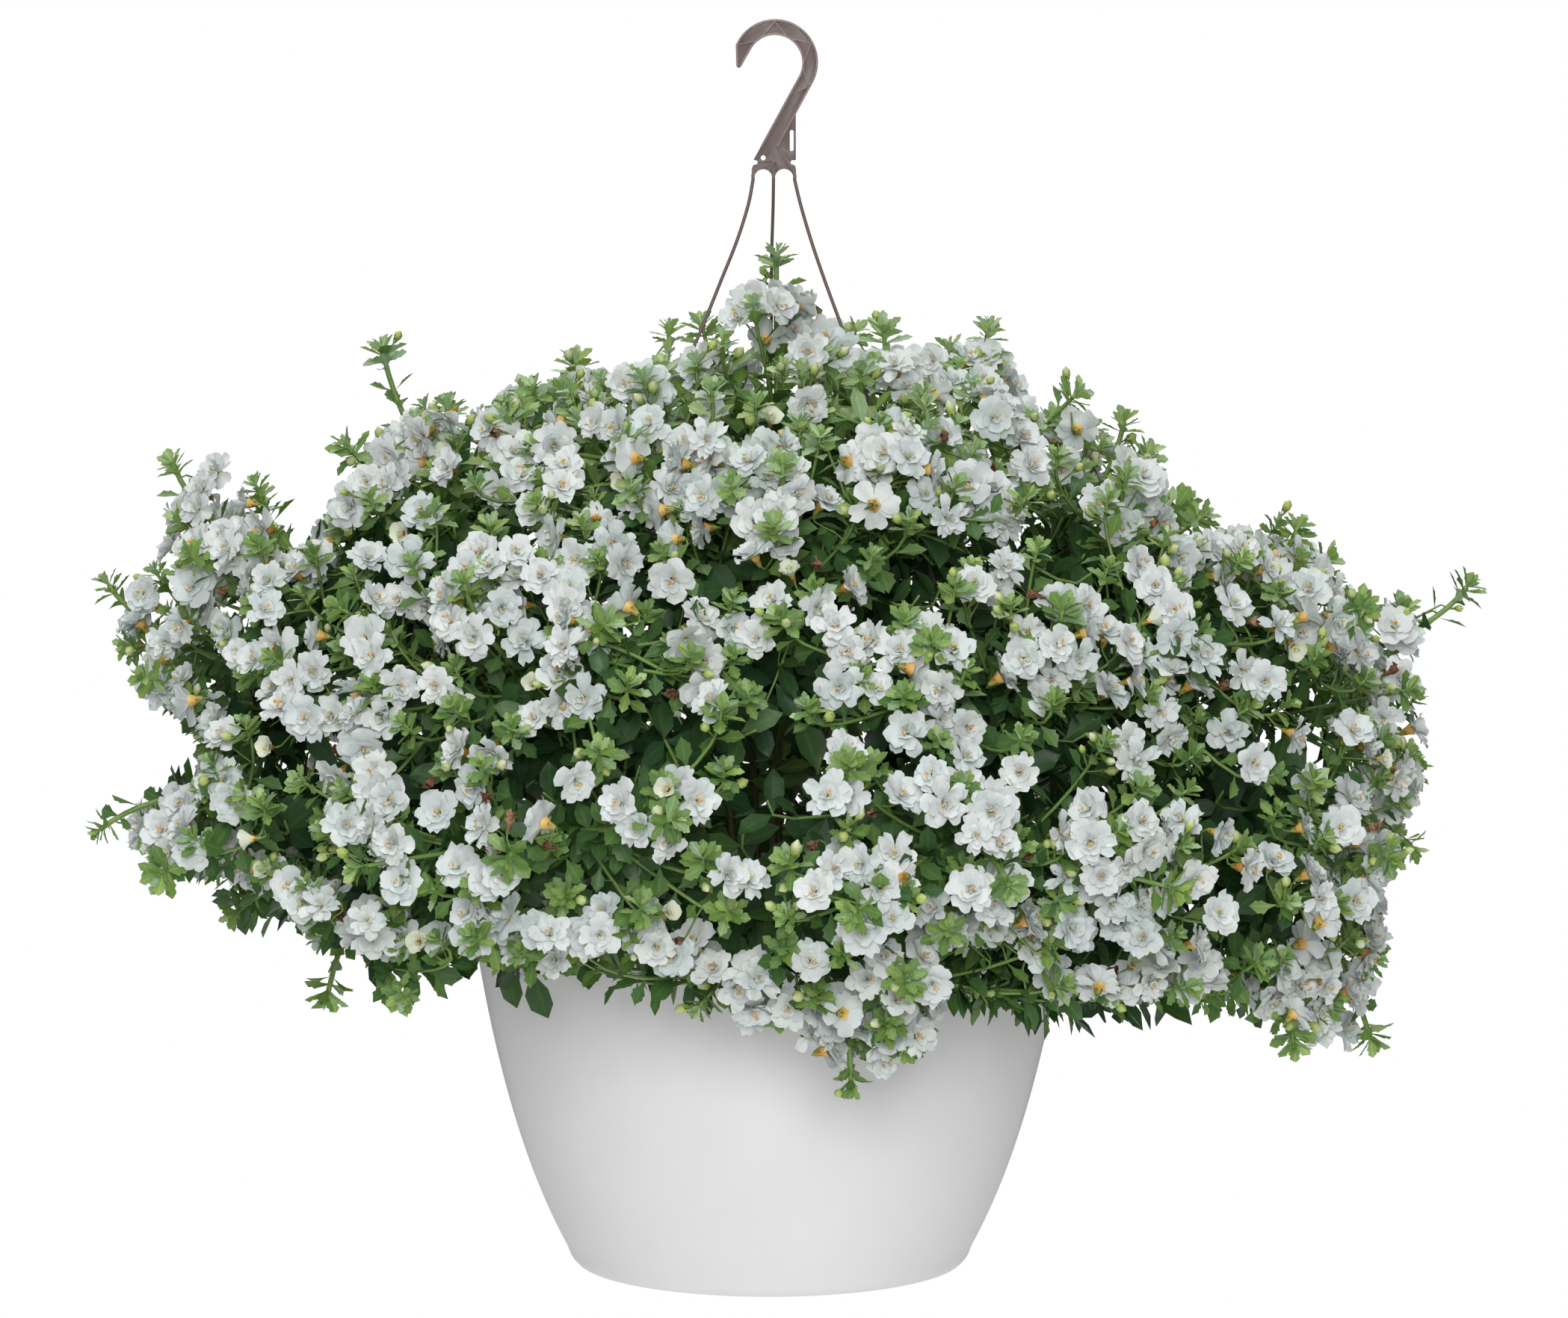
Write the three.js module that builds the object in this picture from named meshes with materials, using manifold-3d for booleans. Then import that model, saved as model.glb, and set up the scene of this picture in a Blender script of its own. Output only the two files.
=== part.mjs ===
// A hanging pot of white double bacopa: bowl, potting mix, moulded three-legged hanger, leafy shoots
// and flower trusses. Millimetres, +Z up, the front towards -Y, and the origin in the middle of the
// pot's underside. It runs with the npm packages three and manifold-3d.
import * as THREE from "three";
import { mergeVertices } from "three/addons/utils/BufferGeometryUtils.js";
import Module from "manifold-3d";

const wasm = await Module();
wasm.setup();

// Clearance left between pieces that meet
const GAP = 0.3;

// Pot: a thin bowl whose side is one curve from the foot to the rim
const POT_HEIGHT = 165;
const POT_SIDES = 36;
const FOOT_RADIUS = 85.5;
const FOOT_TURN = [88.6, 3.2];
const SIDE_START = [90.4, 8];
const SIDE_PULL = [120, 63];
const RIM_RADIUS = 133.4;
const WALL = 2.2;
const FLOOR = 3;
const LIP = { width: 3, height: 5, slope: 1.2, round: 0.8 };
const INNER_TURN = 4;
const CHANNEL = { inner: 46, outer: 66, depth: 1.2 };
const DRAINS = { count: 6, ring: 56, radius: 5, sides: 8 };

// Lugs under the rim that the hanger's legs clip into
const LUG_ANGLES = { left: 210, right: 330, back: 90 };
const LUG_RING = 123;
const LUG_SIZE = [15, 16, 3];
const LUG_TOP = 158;
const LUG_HOLE = 1.9;

// Potting mix, a little heaped
const SOIL_EDGE = 144;
const SOIL_SHOULDER = { radius: 80, z: 148 };
const SOIL_MIDDLE = 149;
const SOIL_TURN = 5;
const SOIL_WALL = [11, 136];

// Hanger hook, drawn in the X-Z plane: a thin web between deeper flanges, with truss ribs
const WEB_DEPTH = 1.6;
const FLANGE = { depth: 4, width: 0.9 };
const RIB = { depth: 3.2, width: 0.6 };
const ARC_STEPS = 9;
const NOTCH_STEPS = 3;
const HOOK_OUT = { x: 2.5, z: 531.5, radius: 18.8 };
const HOOK_IN = { x: 2.4, z: 531.3, radius: 12 };
const TIP_OUT = [-14.5, 538.9];
const TIP_END = [[-14.5, 529.9], [-13.5, 528.9], [-12.4, 529.6]];
const TIP_IN = [-7.6, 538];
const SHANK_OUT = [19, 522.5];
const SHANK_IN = [12.9, 525.5];
const FLANGE_FEET = { out: [3.7, 494.3], in: [-4, 494.6] };
const PLATE = { left: -7, right: 11.6, top: 508.8, bottom: 488.8 };
const NOTCHES = { left: -6.1, right: 10.2, z: 487.8, radius: 0.95 };
const SHOULDER = 483.6;
const LEGS = { left: [-7.8, -6.6], middle: [1.2, 2.4], right: [10.5, 11.7], bottom: 480.6, rise: 0.3 };
const SLOT = { x: 9.8, width: 1.7, low: 492.7, high: 502 };
const EYE = { x: -2.7, z: 489.8, radius: 1.1, sides: 8 };
const RIBS = [[-13.8, 539.3], [-4.8, 541.4], [2.4, 549.8], [8.3, 542.3], [18.6, 540.2], [14.8, 529.9],
  [17.4, 520.8], [8.8, 516.8]];

// Hanger legs: routes from the hook to the lugs, [x, y, z]
const LEG_RADIUS = 0.75;
const LEG_SIDES = 6;
const LEG_STEPS = 15;
const LEG_ROUTES = {
  left: [[-7.2, 0, 480], [-9.1, -2, 470], [-14.1, -6, 454], [-20.9, -11, 437], [-29, -17, 417],
    [-48, -28, 372], [-72, -42, 306], [-94, -54.5, 235], [-104.5, -60.5, 185]],
  right: [[11.1, 0, 480], [13.5, -2, 470], [18.2, -6, 454], [24, -11, 437], [31.4, -17, 417],
    [48, -28, 372], [72, -42, 306], [94, -54.5, 235], [104.5, -60.5, 185]],
  back: [[1.8, 0, 480], [1.6, 4, 468], [1, 14, 448], [0.8, 28, 420],
    [0.5, 55, 362], [0.3, 84, 296], [0.1, 110, 230], [0, 121, 185]],
};
const LEG_FOOT = { above: 8, below: 2 };
const BARB = { top: 3, bottom: 1, height: 5 };
const COLLAR = { radius: 3, height: 1.5 };
const PEG_SIDES = 8;

// Shoots: where each main stem ends, then where its two side shoots end, [x, y, z].
// The first fourteen make the outline seen from the front.
const SHOOTS = [
  [[3, 10, 446], [-30, 42, 424], [38, 30, 420]],
  [[-86, 30, 398], [-45, 40, 412], [-122, 70, 372]],
  [[97, 20, 414], [50, -28, 414], [134, -10, 386]],
  [[-171, 15, 404], [-186, -60, 366], [-176, 84, 352]],
  [[158, 30, 372], [186, -62, 342], [188, 100, 330]],
  [[-261, -20, 357], [-232, -96, 318], [-238, 66, 322]],
  [[232, -14, 328], [230, 74, 322], [252, -96, 300]],
  [[-294, 20, 300], [-276, -74, 262], [-280, 104, 250]],
  [[309, 10, 300], [276, -66, 262], [286, 92, 250]],
  [[-296, -40, 202], [-262, -128, 194], [-288, 56, 186]],
  [[287, -24, 188], [262, -122, 196], [284, 66, 196]],
  [[246, -52, 104], [208, -134, 132], [258, 36, 122]],
  [[-190, -84, 126], [-236, -14, 150], [-152, -178, 136]],
  [[34, -196, 112], [-28, -204, 132], [88, -186, 134]],
  [[6, -176, 366], [-58, -150, 376], [66, -140, 380]],
  [[-124, -196, 318], [-178, -160, 306], [-66, -222, 304]],
  [[120, -204, 308], [66, -236, 298], [178, -166, 296]],
  [[-104, -262, 214], [-166, -228, 206], [-38, -282, 232]],
  [[96, -268, 204], [164, -232, 198], [34, -290, 196]],
  [[-30, 166, 372], [-84, 140, 372], [66, 150, 366]],
  [[-136, 196, 304], [-206, 152, 288], [-66, 232, 306]],
  [[140, 192, 300], [206, 150, 280], [70, 234, 304]],
  [[22, 288, 220], [-64, 276, 208], [84, 268, 212]],
  [[-180, 222, 178], [-236, 158, 164], [-122, 252, 140]],
  [[184, 218, 172], [238, 152, 158], [124, 250, 136]],
  [[-28, 214, 120], [-80, 206, 126], [52, 208, 118]],
];
const STEM = { radius: 1.9, sides: 4, steps: 7 };
const SIDE_STEM = { radius: 1.2, sides: 3, steps: 3, forks: [0.46, 0.7], spring: 0.2 };
const FEET = { inner: 14, outer: 98, full: 200, power: 3 };
const CREST = { low: 228, rise: 0.6, over: 0.75, lift: 1.1, above: 8 };

// Leaves: opposite pairs, each pair a quarter turn on from the last, and a rosette at every tip
const LEAF = { length: 19, width: 11, broad: 0.45, fold: 1.8, lean: 58 };
const ROSETTE = { leaves: 3, lean: 45, scale: 0.85 };
const LEAF_PAIR_AT = 0.84;
const ROSETTE_AT = 0.99;

// Trusses: a stalk that leaves each shoot part way up, with flower heads along it
const STALK = { radius: 1.2, sides: 3, steps: 6, start: 0.56, end: 0.98, offset: 18, together: 22 };
const HEAD = { radius: 13, dip: 0.76, cup: 3, depth: 12, lobes: 5 };
const HEAD_PLACES = [[0.3, -45], [0.53, 45], [0.77, -30], [1, 40]];

// Turns tried about a stem until a stalk or a head finds room, in degrees
const OTHER_TURNS = [0, 30, -30, 55, -55, 80, -80, 105, -105, 140, -140, 180];
const MOUND_MIDDLE = [0, 0, 190];
const LIGHT_PULL = 0.8;

// Room kept round each piece of the plant while it is placed, and the balls that stand for it: how far
// along a leaf or a head each ball is, and its radius, as parts of the leaf's or the head's own size
const ROOM = 0.7;
const BALL_STEP = 3;
const LEAF_BALLS = [[0.45, 0.4], [0.7, 0.34], [0.95, 0.12]];
const HEAD_BALLS = [[0.55, 0.5], [0.8, 1]];

const GREEN = new THREE.MeshStandardMaterial({ color: 0x4f7a36, roughness: 0.6, metalness: 0 });
const WHITE_PETAL = new THREE.MeshStandardMaterial({ color: 0xf4f5f2, roughness: 0.55, metalness: 0 });
const WHITE_PLASTIC = new THREE.MeshStandardMaterial({ color: 0xf1f1f1, roughness: 0.35, metalness: 0 });
const BROWN_PLASTIC = new THREE.MeshStandardMaterial({ color: 0x6e5a55, roughness: 0.5, metalness: 0 });
const PEAT = new THREE.MeshStandardMaterial({ color: 0x2f2219, roughness: 0.95, metalness: 0 });

const V = (x, y, z) => new THREE.Vector3(x, y, z);
const UP = V(0, 0, 1);
const radians = THREE.MathUtils.degToRad;

// A three.js geometry as a solid, with shared corners merged and flat slivers left out
function solidOf(geometry) {
  const bare = geometry.index ? geometry.toNonIndexed() : geometry.clone();
  bare.deleteAttribute("normal");
  bare.deleteAttribute("uv");
  const merged = mergeVertices(bare, 1e-4);
  const corners = merged.index.array;
  const kept = [];
  for (let i = 0; i < corners.length; i += 3) {
    const [a, b, c] = [corners[i], corners[i + 1], corners[i + 2]];
    if (a !== b && b !== c && a !== c) kept.push(a, b, c);
  }
  return new wasm.Manifold(new wasm.Mesh({
    numProp: 3,
    vertProperties: merged.attributes.position.array,
    triVerts: new Uint32Array(kept),
  }));
}

function meshOf(name, solid, material) {
  const data = solid.getMesh();
  const geometry = new THREE.BufferGeometry();
  geometry.setAttribute("position", new THREE.BufferAttribute(data.vertProperties, 3));
  geometry.setIndex(new THREE.BufferAttribute(data.triVerts, 1));
  geometry.computeVertexNormals();
  const mesh = new THREE.Mesh(geometry, material);
  mesh.name = name;
  return mesh;
}

// Solids grown into one, with any hollow that they close off filled
function joined(solids) {
  const bodies = solids.reduce((whole, one) => whole.add(one)).decompose();
  return bodies.reduce((most, body) => (body.volume() > most.volume() ? body : most));
}

// A profile of [radius, height] turned about the Z axis
function turned(profile, sides) {
  const points = profile.map(([r, z]) => new THREE.Vector2(r, z));
  return solidOf(new THREE.LatheGeometry(points, sides).rotateX(Math.PI / 2));
}

function cylinder(low, high, radius, sides, topRadius = radius) {
  const geometry = new THREE.CylinderGeometry(topRadius, radius, high.z - low.z, sides);
  geometry.rotateX(Math.PI / 2);
  return solidOf(geometry.translate(low.x, low.y, (low.z + high.z) / 2));
}

// A round rod of few sides along a curve
function rod(curve, radius, sides, steps) {
  const section = new THREE.Shape();
  for (let i = 0; i < sides; i++) {
    const turn = (2 * Math.PI * i) / sides;
    const [x, y] = [radius * Math.cos(turn), radius * Math.sin(turn)];
    if (i) section.lineTo(x, y);
    else section.moveTo(x, y);
  }
  section.closePath();
  return solidOf(new THREE.ExtrudeGeometry(section, { steps, extrudePath: curve, curveSegments: 1 }));
}

// The pot's outer side as a curve of radius and height
const side = new THREE.QuadraticBezierCurve(
  new THREE.Vector2(...SIDE_START),
  new THREE.Vector2(...SIDE_PULL),
  new THREE.Vector2(RIM_RADIUS, POT_HEIGHT),
);
const outerSide = [0, 0.25, 0.5, 0.75].map((t) => side.getPoint(t).toArray());

// The pot's outer radius at a height, from where the curve reaches that height
function outerRadius(z) {
  const [z0, z1, z2] = [SIDE_START[1], SIDE_PULL[1], POT_HEIGHT];
  const bend = z0 - 2 * z1 + z2;
  const climb = z1 - z0;
  const t = (Math.sqrt(climb * climb + bend * (Math.min(z, POT_HEIGHT) - z0)) - climb) / bend;
  return side.getPoint(Math.min(Math.max(t || 0, 0), 1)).x;
}

function pot() {
  const lipLow = POT_HEIGHT - LIP.height;
  const inside = outerSide.map(([r, z]) => [r - WALL, z]);
  inside[0][1] = FLOOR + INNER_TURN;
  const profile = [
    [0, 0],
    [CHANNEL.inner, 0],
    [CHANNEL.inner + CHANNEL.depth, CHANNEL.depth],
    [CHANNEL.outer - CHANNEL.depth, CHANNEL.depth],
    [CHANNEL.outer, 0],
    [FOOT_RADIUS, 0],
    FOOT_TURN,
    ...outerSide,
    [outerRadius(lipLow), lipLow],
    [RIM_RADIUS + LIP.width, lipLow + LIP.slope],
    [RIM_RADIUS + LIP.width, POT_HEIGHT - LIP.round],
    [RIM_RADIUS + LIP.width - LIP.round, POT_HEIGHT],
    [RIM_RADIUS - WALL, POT_HEIGHT],
    ...inside.reverse(),
    [FOOT_RADIUS - 1, FLOOR],
    [0, FLOOR],
  ];
  let bowl = turned(profile, POT_SIDES);
  for (const angle of Object.values(LUG_ANGLES)) {
    const lug = new THREE.BoxGeometry(...LUG_SIZE);
    lug.translate(LUG_RING, 0, LUG_TOP - LUG_SIZE[2] / 2).rotateZ(radians(angle));
    bowl = bowl.add(solidOf(lug));
    const hole = V(LUG_RING, 0, LUG_TOP - LUG_SIZE[2] - 1).applyAxisAngle(UP, radians(angle));
    const top = hole.clone().setZ(LUG_TOP + 1);
    bowl = bowl.subtract(cylinder(hole, top, LUG_HOLE, PEG_SIDES));
  }
  for (let i = 0; i < DRAINS.count; i++) {
    const low = V(DRAINS.ring, 0, -1).applyAxisAngle(UP, (2 * Math.PI * i) / DRAINS.count);
    bowl = bowl.subtract(cylinder(low, low.clone().setZ(FLOOR + 1), DRAINS.radius, DRAINS.sides));
  }
  return bowl;
}

function soil() {
  const walls = outerSide
    .map(([r, z]) => [r - WALL - GAP, z])
    .filter(([, z]) => z > SOIL_WALL[0] && z < SOIL_WALL[1]);
  const low = FLOOR + GAP;
  return turned([
    [0, low],
    [FOOT_RADIUS - 2, low],
    [outerRadius(FLOOR + SOIL_TURN) - WALL - 2 * GAP, FLOOR + SOIL_TURN],
    ...walls,
    [outerRadius(SOIL_EDGE) - WALL - 3 * GAP, SOIL_EDGE],
    [SOIL_SHOULDER.radius, SOIL_SHOULDER.z],
    [0, SOIL_MIDDLE],
  ], POT_SIDES);
}

// Height of the potting mix at a distance from the middle
function soilHeight(radius) {
  const { radius: shoulder, z } = SOIL_SHOULDER;
  if (radius < shoulder) return SOIL_MIDDLE - (radius / shoulder) * (SOIL_MIDDLE - z);
  const edge = outerRadius(SOIL_EDGE) - WALL;
  return z - ((radius - shoulder) / (edge - shoulder)) * (z - SOIL_EDGE);
}

// An outline of [x, z] points given a depth about the plane Y = 0
function plate(outline, depth) {
  const shape = new THREE.Shape(outline.map(([x, z]) => new THREE.Vector2(x, z)));
  const geometry = new THREE.ExtrudeGeometry(shape, { depth, bevelEnabled: false });
  return solidOf(geometry.translate(0, 0, -depth / 2).rotateX(Math.PI / 2));
}

function arcPoints({ x, z, radius }, start, end, steps) {
  return Array.from({ length: steps + 1 }, (_, i) => {
    const turn = start + ((end - start) * i) / steps;
    return [x + radius * Math.cos(turn), z + radius * Math.sin(turn)];
  });
}

// Points over the top of the hook on one of its two circles
function overTop(arc, from, to) {
  const turnTo = ([x, z]) => Math.atan2(z - arc.z, x - arc.x);
  return arcPoints(arc, turnTo(from), turnTo(to), ARC_STEPS);
}

// The curve from the low end of a notch at a plate's corner to the side of the leg below it
function shoulderPoints(notchX, legX) {
  const top = NOTCHES.z - NOTCHES.radius;
  const corners = [[notchX, top], [legX, top], [legX, SHOULDER]].map((p) => new THREE.Vector2(...p));
  return new THREE.QuadraticBezierCurve(...corners).getPoints(NOTCH_STEPS).map((p) => p.toArray());
}

const outerEdge = [TIP_END[0], ...overTop(HOOK_OUT, TIP_OUT, SHANK_OUT), [PLATE.right, PLATE.top]];
const innerEdge = [TIP_END[2], ...overTop(HOOK_IN, TIP_IN, SHANK_IN)];

// The outline, clockwise from the tip: over the top, down the plate, along the arches and back up
function hookOutline() {
  const notchAt = (x) => ({ x, z: NOTCHES.z, radius: NOTCHES.radius });
  const quarter = Math.PI / 2;
  const arches = [[LEGS.right[0], LEGS.middle[1]], [LEGS.middle[0], LEGS.left[1]]].flatMap(([a, b]) => {
    const arch = { x: (a + b) / 2, z: LEGS.bottom + LEGS.rise, radius: (a - b) / 2 };
    return [[a, LEGS.bottom], ...arcPoints(arch, 0, Math.PI, ARC_STEPS), [b, LEGS.bottom]];
  });
  return [
    ...outerEdge,
    [PLATE.right, PLATE.bottom],
    ...arcPoints(notchAt(NOTCHES.right), quarter, 3 * quarter, NOTCH_STEPS),
    ...shoulderPoints(NOTCHES.right, LEGS.right[1]).slice(1),
    [LEGS.right[1], LEGS.bottom],
    ...arches,
    [LEGS.left[0], LEGS.bottom],
    ...shoulderPoints(NOTCHES.left, LEGS.left[0]).reverse().slice(0, -1),
    ...arcPoints(notchAt(NOTCHES.left), -quarter, quarter, NOTCH_STEPS),
    [PLATE.left, PLATE.bottom],
    ...innerEdge.toReversed(),
    TIP_END[1],
  ];
}

// A strip along one side of a line of [x, z] points: the right-hand side, or the left where width is negative
function strip(points, width) {
  const otherSide = points.map(([x, z], i) => {
    const [a, b] = [points[Math.max(i - 1, 0)], points[Math.min(i + 1, points.length - 1)]];
    const scale = width / Math.hypot(b[0] - a[0], b[1] - a[1]);
    return [x + (b[1] - a[1]) * scale, z - (b[0] - a[0]) * scale];
  });
  return [...points, ...otherSide.reverse()];
}

// The hook: web, flanges and truss ribs as one, with a slot and an eye through the plate
function hook() {
  let body = plate(hookOutline(), WEB_DEPTH);
  body = body.add(plate(strip([...outerEdge, FLANGE_FEET.out], FLANGE.width), FLANGE.depth));
  body = body.add(plate(strip([...innerEdge, FLANGE_FEET.in], -FLANGE.width), FLANGE.depth));
  RIBS.slice(1).forEach((to, i) => {
    body = body.add(plate(strip([RIBS[i], to], RIB.width), RIB.depth));
  });
  const slot = new THREE.BoxGeometry(SLOT.width, FLANGE.depth, SLOT.high - SLOT.low);
  body = body.subtract(solidOf(slot.translate(SLOT.x, 0, (SLOT.high + SLOT.low) / 2)));
  const eye = new THREE.CylinderGeometry(EYE.radius, EYE.radius, FLANGE.depth, EYE.sides);
  return body.subtract(solidOf(eye.translate(EYE.x, 0, EYE.z)));
}

// A leg of the hanger, down through its lug, with a collar above it and a barb below
function leg(name) {
  const foot = V(LUG_RING, 0, LUG_TOP).applyAxisAngle(UP, radians(LUG_ANGLES[name]));
  const lugLow = LUG_TOP - LUG_SIZE[2];
  const points = LEG_ROUTES[name].map((p) => V(...p));
  points.push(foot.clone().setZ(LUG_TOP + LEG_FOOT.above), foot.clone().setZ(lugLow - LEG_FOOT.below));
  const route = new THREE.CatmullRomCurve3(points);
  const collar = foot.clone().setZ(LUG_TOP + GAP);
  const barb = foot.clone().setZ(lugLow - GAP - BARB.height);
  return joined([
    rod(route, LEG_RADIUS, LEG_SIDES, LEG_STEPS),
    cylinder(collar, collar.clone().setZ(collar.z + COLLAR.height), COLLAR.radius, PEG_SIDES),
    cylinder(barb, barb.clone().setZ(lugLow - GAP), BARB.bottom, PEG_SIDES, BARB.top),
  ]);
}

// Where each main stem runs: straight up out of the mix, over its crest and on to its tip
function stemRoute(tip) {
  const reach = Math.hypot(tip.x, tip.y);
  const lean = reach / Math.hypot(reach, Math.max(tip.z - SOIL_MIDDLE, 0));
  const part = lean ** FEET.power * Math.min(reach / FEET.full, 1);
  const ring = FEET.inner + (FEET.outer - FEET.inner) * part;
  const out = V(tip.x, tip.y, 0).normalize();
  const foot = out.clone().multiplyScalar(ring).setZ(soilHeight(ring) + GAP);
  const crest = Math.max(tip.z, CREST.low);
  const rise = foot.clone().setZ(foot.z + (crest - foot.z) * CREST.rise);
  const over = foot.clone().addScaledVector(out, (reach - ring) * CREST.over);
  over.z = tip.z + (crest - tip.z) * CREST.lift + CREST.above;
  return new THREE.CubicBezierCurve3(foot, rise, over, tip);
}

function sideRoute(stem, fork, tip) {
  const { at, along } = onRod(stem, STEM.steps, fork);
  const pull = at.clone().addScaledVector(along, at.distanceTo(tip) * SIDE_STEM.spring);
  return new THREE.QuadraticBezierCurve3(at, pull, tip);
}

// Out of the mound and towards the light at a point, square to a direction of growth
function outward(point, along) {
  const out = point.clone().sub(V(...MOUND_MIDDLE)).normalize().addScaledVector(UP, LIGHT_PULL);
  return out.addScaledVector(along, -out.dot(along)).normalize();
}

// The balls that stand for what is placed, so that nothing new is put through it
const placed = [];

// Where a rod's middle line is after a part of its length, and which way it runs there
function onRod(curve, steps, part) {
  const corners = curve.getSpacedPoints(steps);
  const step = Math.min(Math.floor(part * steps), steps - 1);
  const [from, to] = [corners[step], corners[step + 1]];
  return { at: from.clone().lerp(to, part * steps - step), along: to.clone().sub(from).normalize() };
}

function ballsAlong(curve, steps, radius, owner) {
  const count = Math.ceil(curve.getLength() / BALL_STEP);
  const ballAt = (_, i) => ({ at: onRod(curve, steps, i / count).at, radius, owner });
  return Array.from({ length: count + 1 }, ballAt);
}

const touches = (a, b) => a.owner !== b.owner && a.at.distanceTo(b.at) < a.radius + b.radius + ROOM;

// Whether a ball keeps clear of the pot and the mix
function offPot({ at, radius }) {
  const reach = Math.hypot(at.x, at.y);
  const room = radius + ROOM;
  if (at.z > POT_HEIGHT + room || reach > RIM_RADIUS + LIP.width + room) return true;
  return reach < RIM_RADIUS - WALL - room && at.z > soilHeight(reach) + room;
}

const isClear = (balls) => balls.every((b) => offPot(b) && !placed.some((p) => touches(b, p)));

function leafBalls(at, along, scale, owner) {
  return LEAF_BALLS.map(([far, wide]) => ({
    at: at.clone().addScaledVector(along, LEAF.length * scale * far),
    radius: LEAF.width * scale * wide,
    owner,
  }));
}

// A leaf: a pointed blade with a raised midrib that starts in its stem and lies across the light
function leaf(at, along, scale) {
  const [long, wide] = [LEAF.length * scale, LEAF.width * scale / 2];
  const broad = long * LEAF.broad;
  const blade = new THREE.BufferGeometry();
  const corners = [0, 0, 0, 0, 0, long, wide, -LEAF.fold, broad, -wide, -LEAF.fold, broad];
  blade.setAttribute("position", new THREE.Float32BufferAttribute(corners, 3));
  blade.setIndex([0, 1, 2, 0, 3, 1, 0, 2, 3, 1, 3, 2]);
  const across = UP.clone().cross(along).normalize();
  const turn = new THREE.Matrix4().makeBasis(across, along.clone().cross(across), along);
  return solidOf(blade.applyMatrix4(turn).translate(at.x, at.y, at.z));
}

// A flower head: lobed rim, shallow middle, and a back that narrows to where it joins its stalk
function flowerHead(at, along) {
  const spokes = HEAD.lobes * 2;
  const profile = [[0, 0], [HEAD.radius, HEAD.depth], [0, HEAD.depth - HEAD.cup]];
  const points = profile.map(([r, z]) => new THREE.Vector2(r, z));
  const cone = new THREE.LatheGeometry(points, spokes);
  const corner = cone.attributes.position;
  for (let i = 0; i < corner.count; i++) {
    const spoke = Math.floor(i / points.length) % spokes;
    const pull = spoke % 2 ? HEAD.dip : 1;
    corner.setXYZ(i, corner.getX(i) * pull, corner.getY(i), corner.getZ(i) * pull);
  }
  const turn = new THREE.Quaternion().setFromUnitVectors(V(0, 1, 0), along);
  return solidOf(cone.applyQuaternion(turn).translate(at.x, at.y, at.z));
}

function headBalls(at, along, owner) {
  return HEAD_BALLS.map(([far, wide]) => ({
    at: at.clone().addScaledVector(along, HEAD.depth * far),
    radius: HEAD.radius * wide,
    owner,
  }));
}

// The stalk of a truss: it starts in the stem and swings out from it
function stalkRoute(stem, turn) {
  const points = [];
  for (let i = 0; i <= STALK.steps; i++) {
    const part = i / STALK.steps;
    const { at, along } = onRod(stem, STEM.steps, STALK.start + (STALK.end - STALK.start) * part);
    const way = outward(at, along).applyAxisAngle(along, radians(turn));
    points.push(at.addScaledVector(way, STALK.offset * Math.sqrt(part)));
  }
  return new THREE.CatmullRomCurve3(points);
}

// The hanger and its lugs hold their places before the plant grows
function holdHanger() {
  for (const [name, points] of Object.entries(LEG_ROUTES)) {
    const foot = V(LUG_RING, 0, LUG_TOP).applyAxisAngle(UP, radians(LUG_ANGLES[name]));
    const route = new THREE.CatmullRomCurve3([...points.map((p) => V(...p)), foot]);
    placed.push(...ballsAlong(route, LEG_STEPS, LEG_RADIUS, "hanger"));
    placed.push({ at: foot, radius: LUG_SIZE[1] / 2, owner: "hanger" });
  }
}

function growStem([tip, ...sides], index) {
  const number = String(index + 1).padStart(2, "0");
  const shoot = { name: `shoot_${number}`, truss: `flower_truss_${number}`, sides, arms: [] };
  shoot.stem = stemRoute(V(...tip));
  const balls = ballsAlong(shoot.stem, STEM.steps, STEM.radius, shoot.name);
  if (!isClear(balls.slice(2))) throw new Error(`${shoot.name} runs into something`);
  placed.push(...balls);
  shoot.solids = [rod(shoot.stem, STEM.radius, STEM.sides, STEM.steps)];
  return shoot;
}

function growSideShoots(shoot) {
  shoot.sides.forEach((tip, k) => {
    const route = sideRoute(shoot.stem, SIDE_STEM.forks[k], V(...tip));
    const balls = ballsAlong(route, SIDE_STEM.steps, SIDE_STEM.radius, shoot.name);
    if (!isClear(balls)) return;
    placed.push(...balls);
    shoot.arms.push(route);
    shoot.solids.push(rod(route, SIDE_STEM.radius, SIDE_STEM.sides, SIDE_STEM.steps));
  });
}

function growStalk(shoot) {
  for (const turn of OTHER_TURNS) {
    const route = stalkRoute(shoot.stem, turn);
    const balls = ballsAlong(route, STALK.steps, STALK.radius, shoot.truss);
    if (!isClear(balls.filter((b) => b.at.distanceTo(balls[0].at) > STALK.together))) continue;
    placed.push(...balls);
    shoot.stalk = route;
    shoot.heads = [rod(route, STALK.radius, STALK.sides, STALK.steps)];
    return;
  }
  throw new Error(`${shoot.truss} finds no room`);
}

function growHeads(shoot) {
  for (const [part, turn] of HEAD_PLACES) {
    const { at, along } = onRod(shoot.stalk, STALK.steps, part);
    for (const other of OTHER_TURNS) {
      const way = outward(at, along).applyAxisAngle(along, radians(turn + other));
      const balls = headBalls(at, way, shoot.truss);
      if (!isClear(balls)) continue;
      placed.push(...balls);
      shoot.heads.push(flowerHead(at, way));
      break;
    }
  }
}

function growLeaf(shoot, { at, along }, lean, turn, scale) {
  const way = along.clone().multiplyScalar(Math.cos(radians(lean)));
  way.addScaledVector(outward(at, along).applyAxisAngle(along, turn), Math.sin(radians(lean)));
  const balls = leafBalls(at, way, scale, shoot.name);
  if (!isClear(balls)) return;
  placed.push(...balls);
  shoot.solids.push(leaf(at, way, scale));
}

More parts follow.
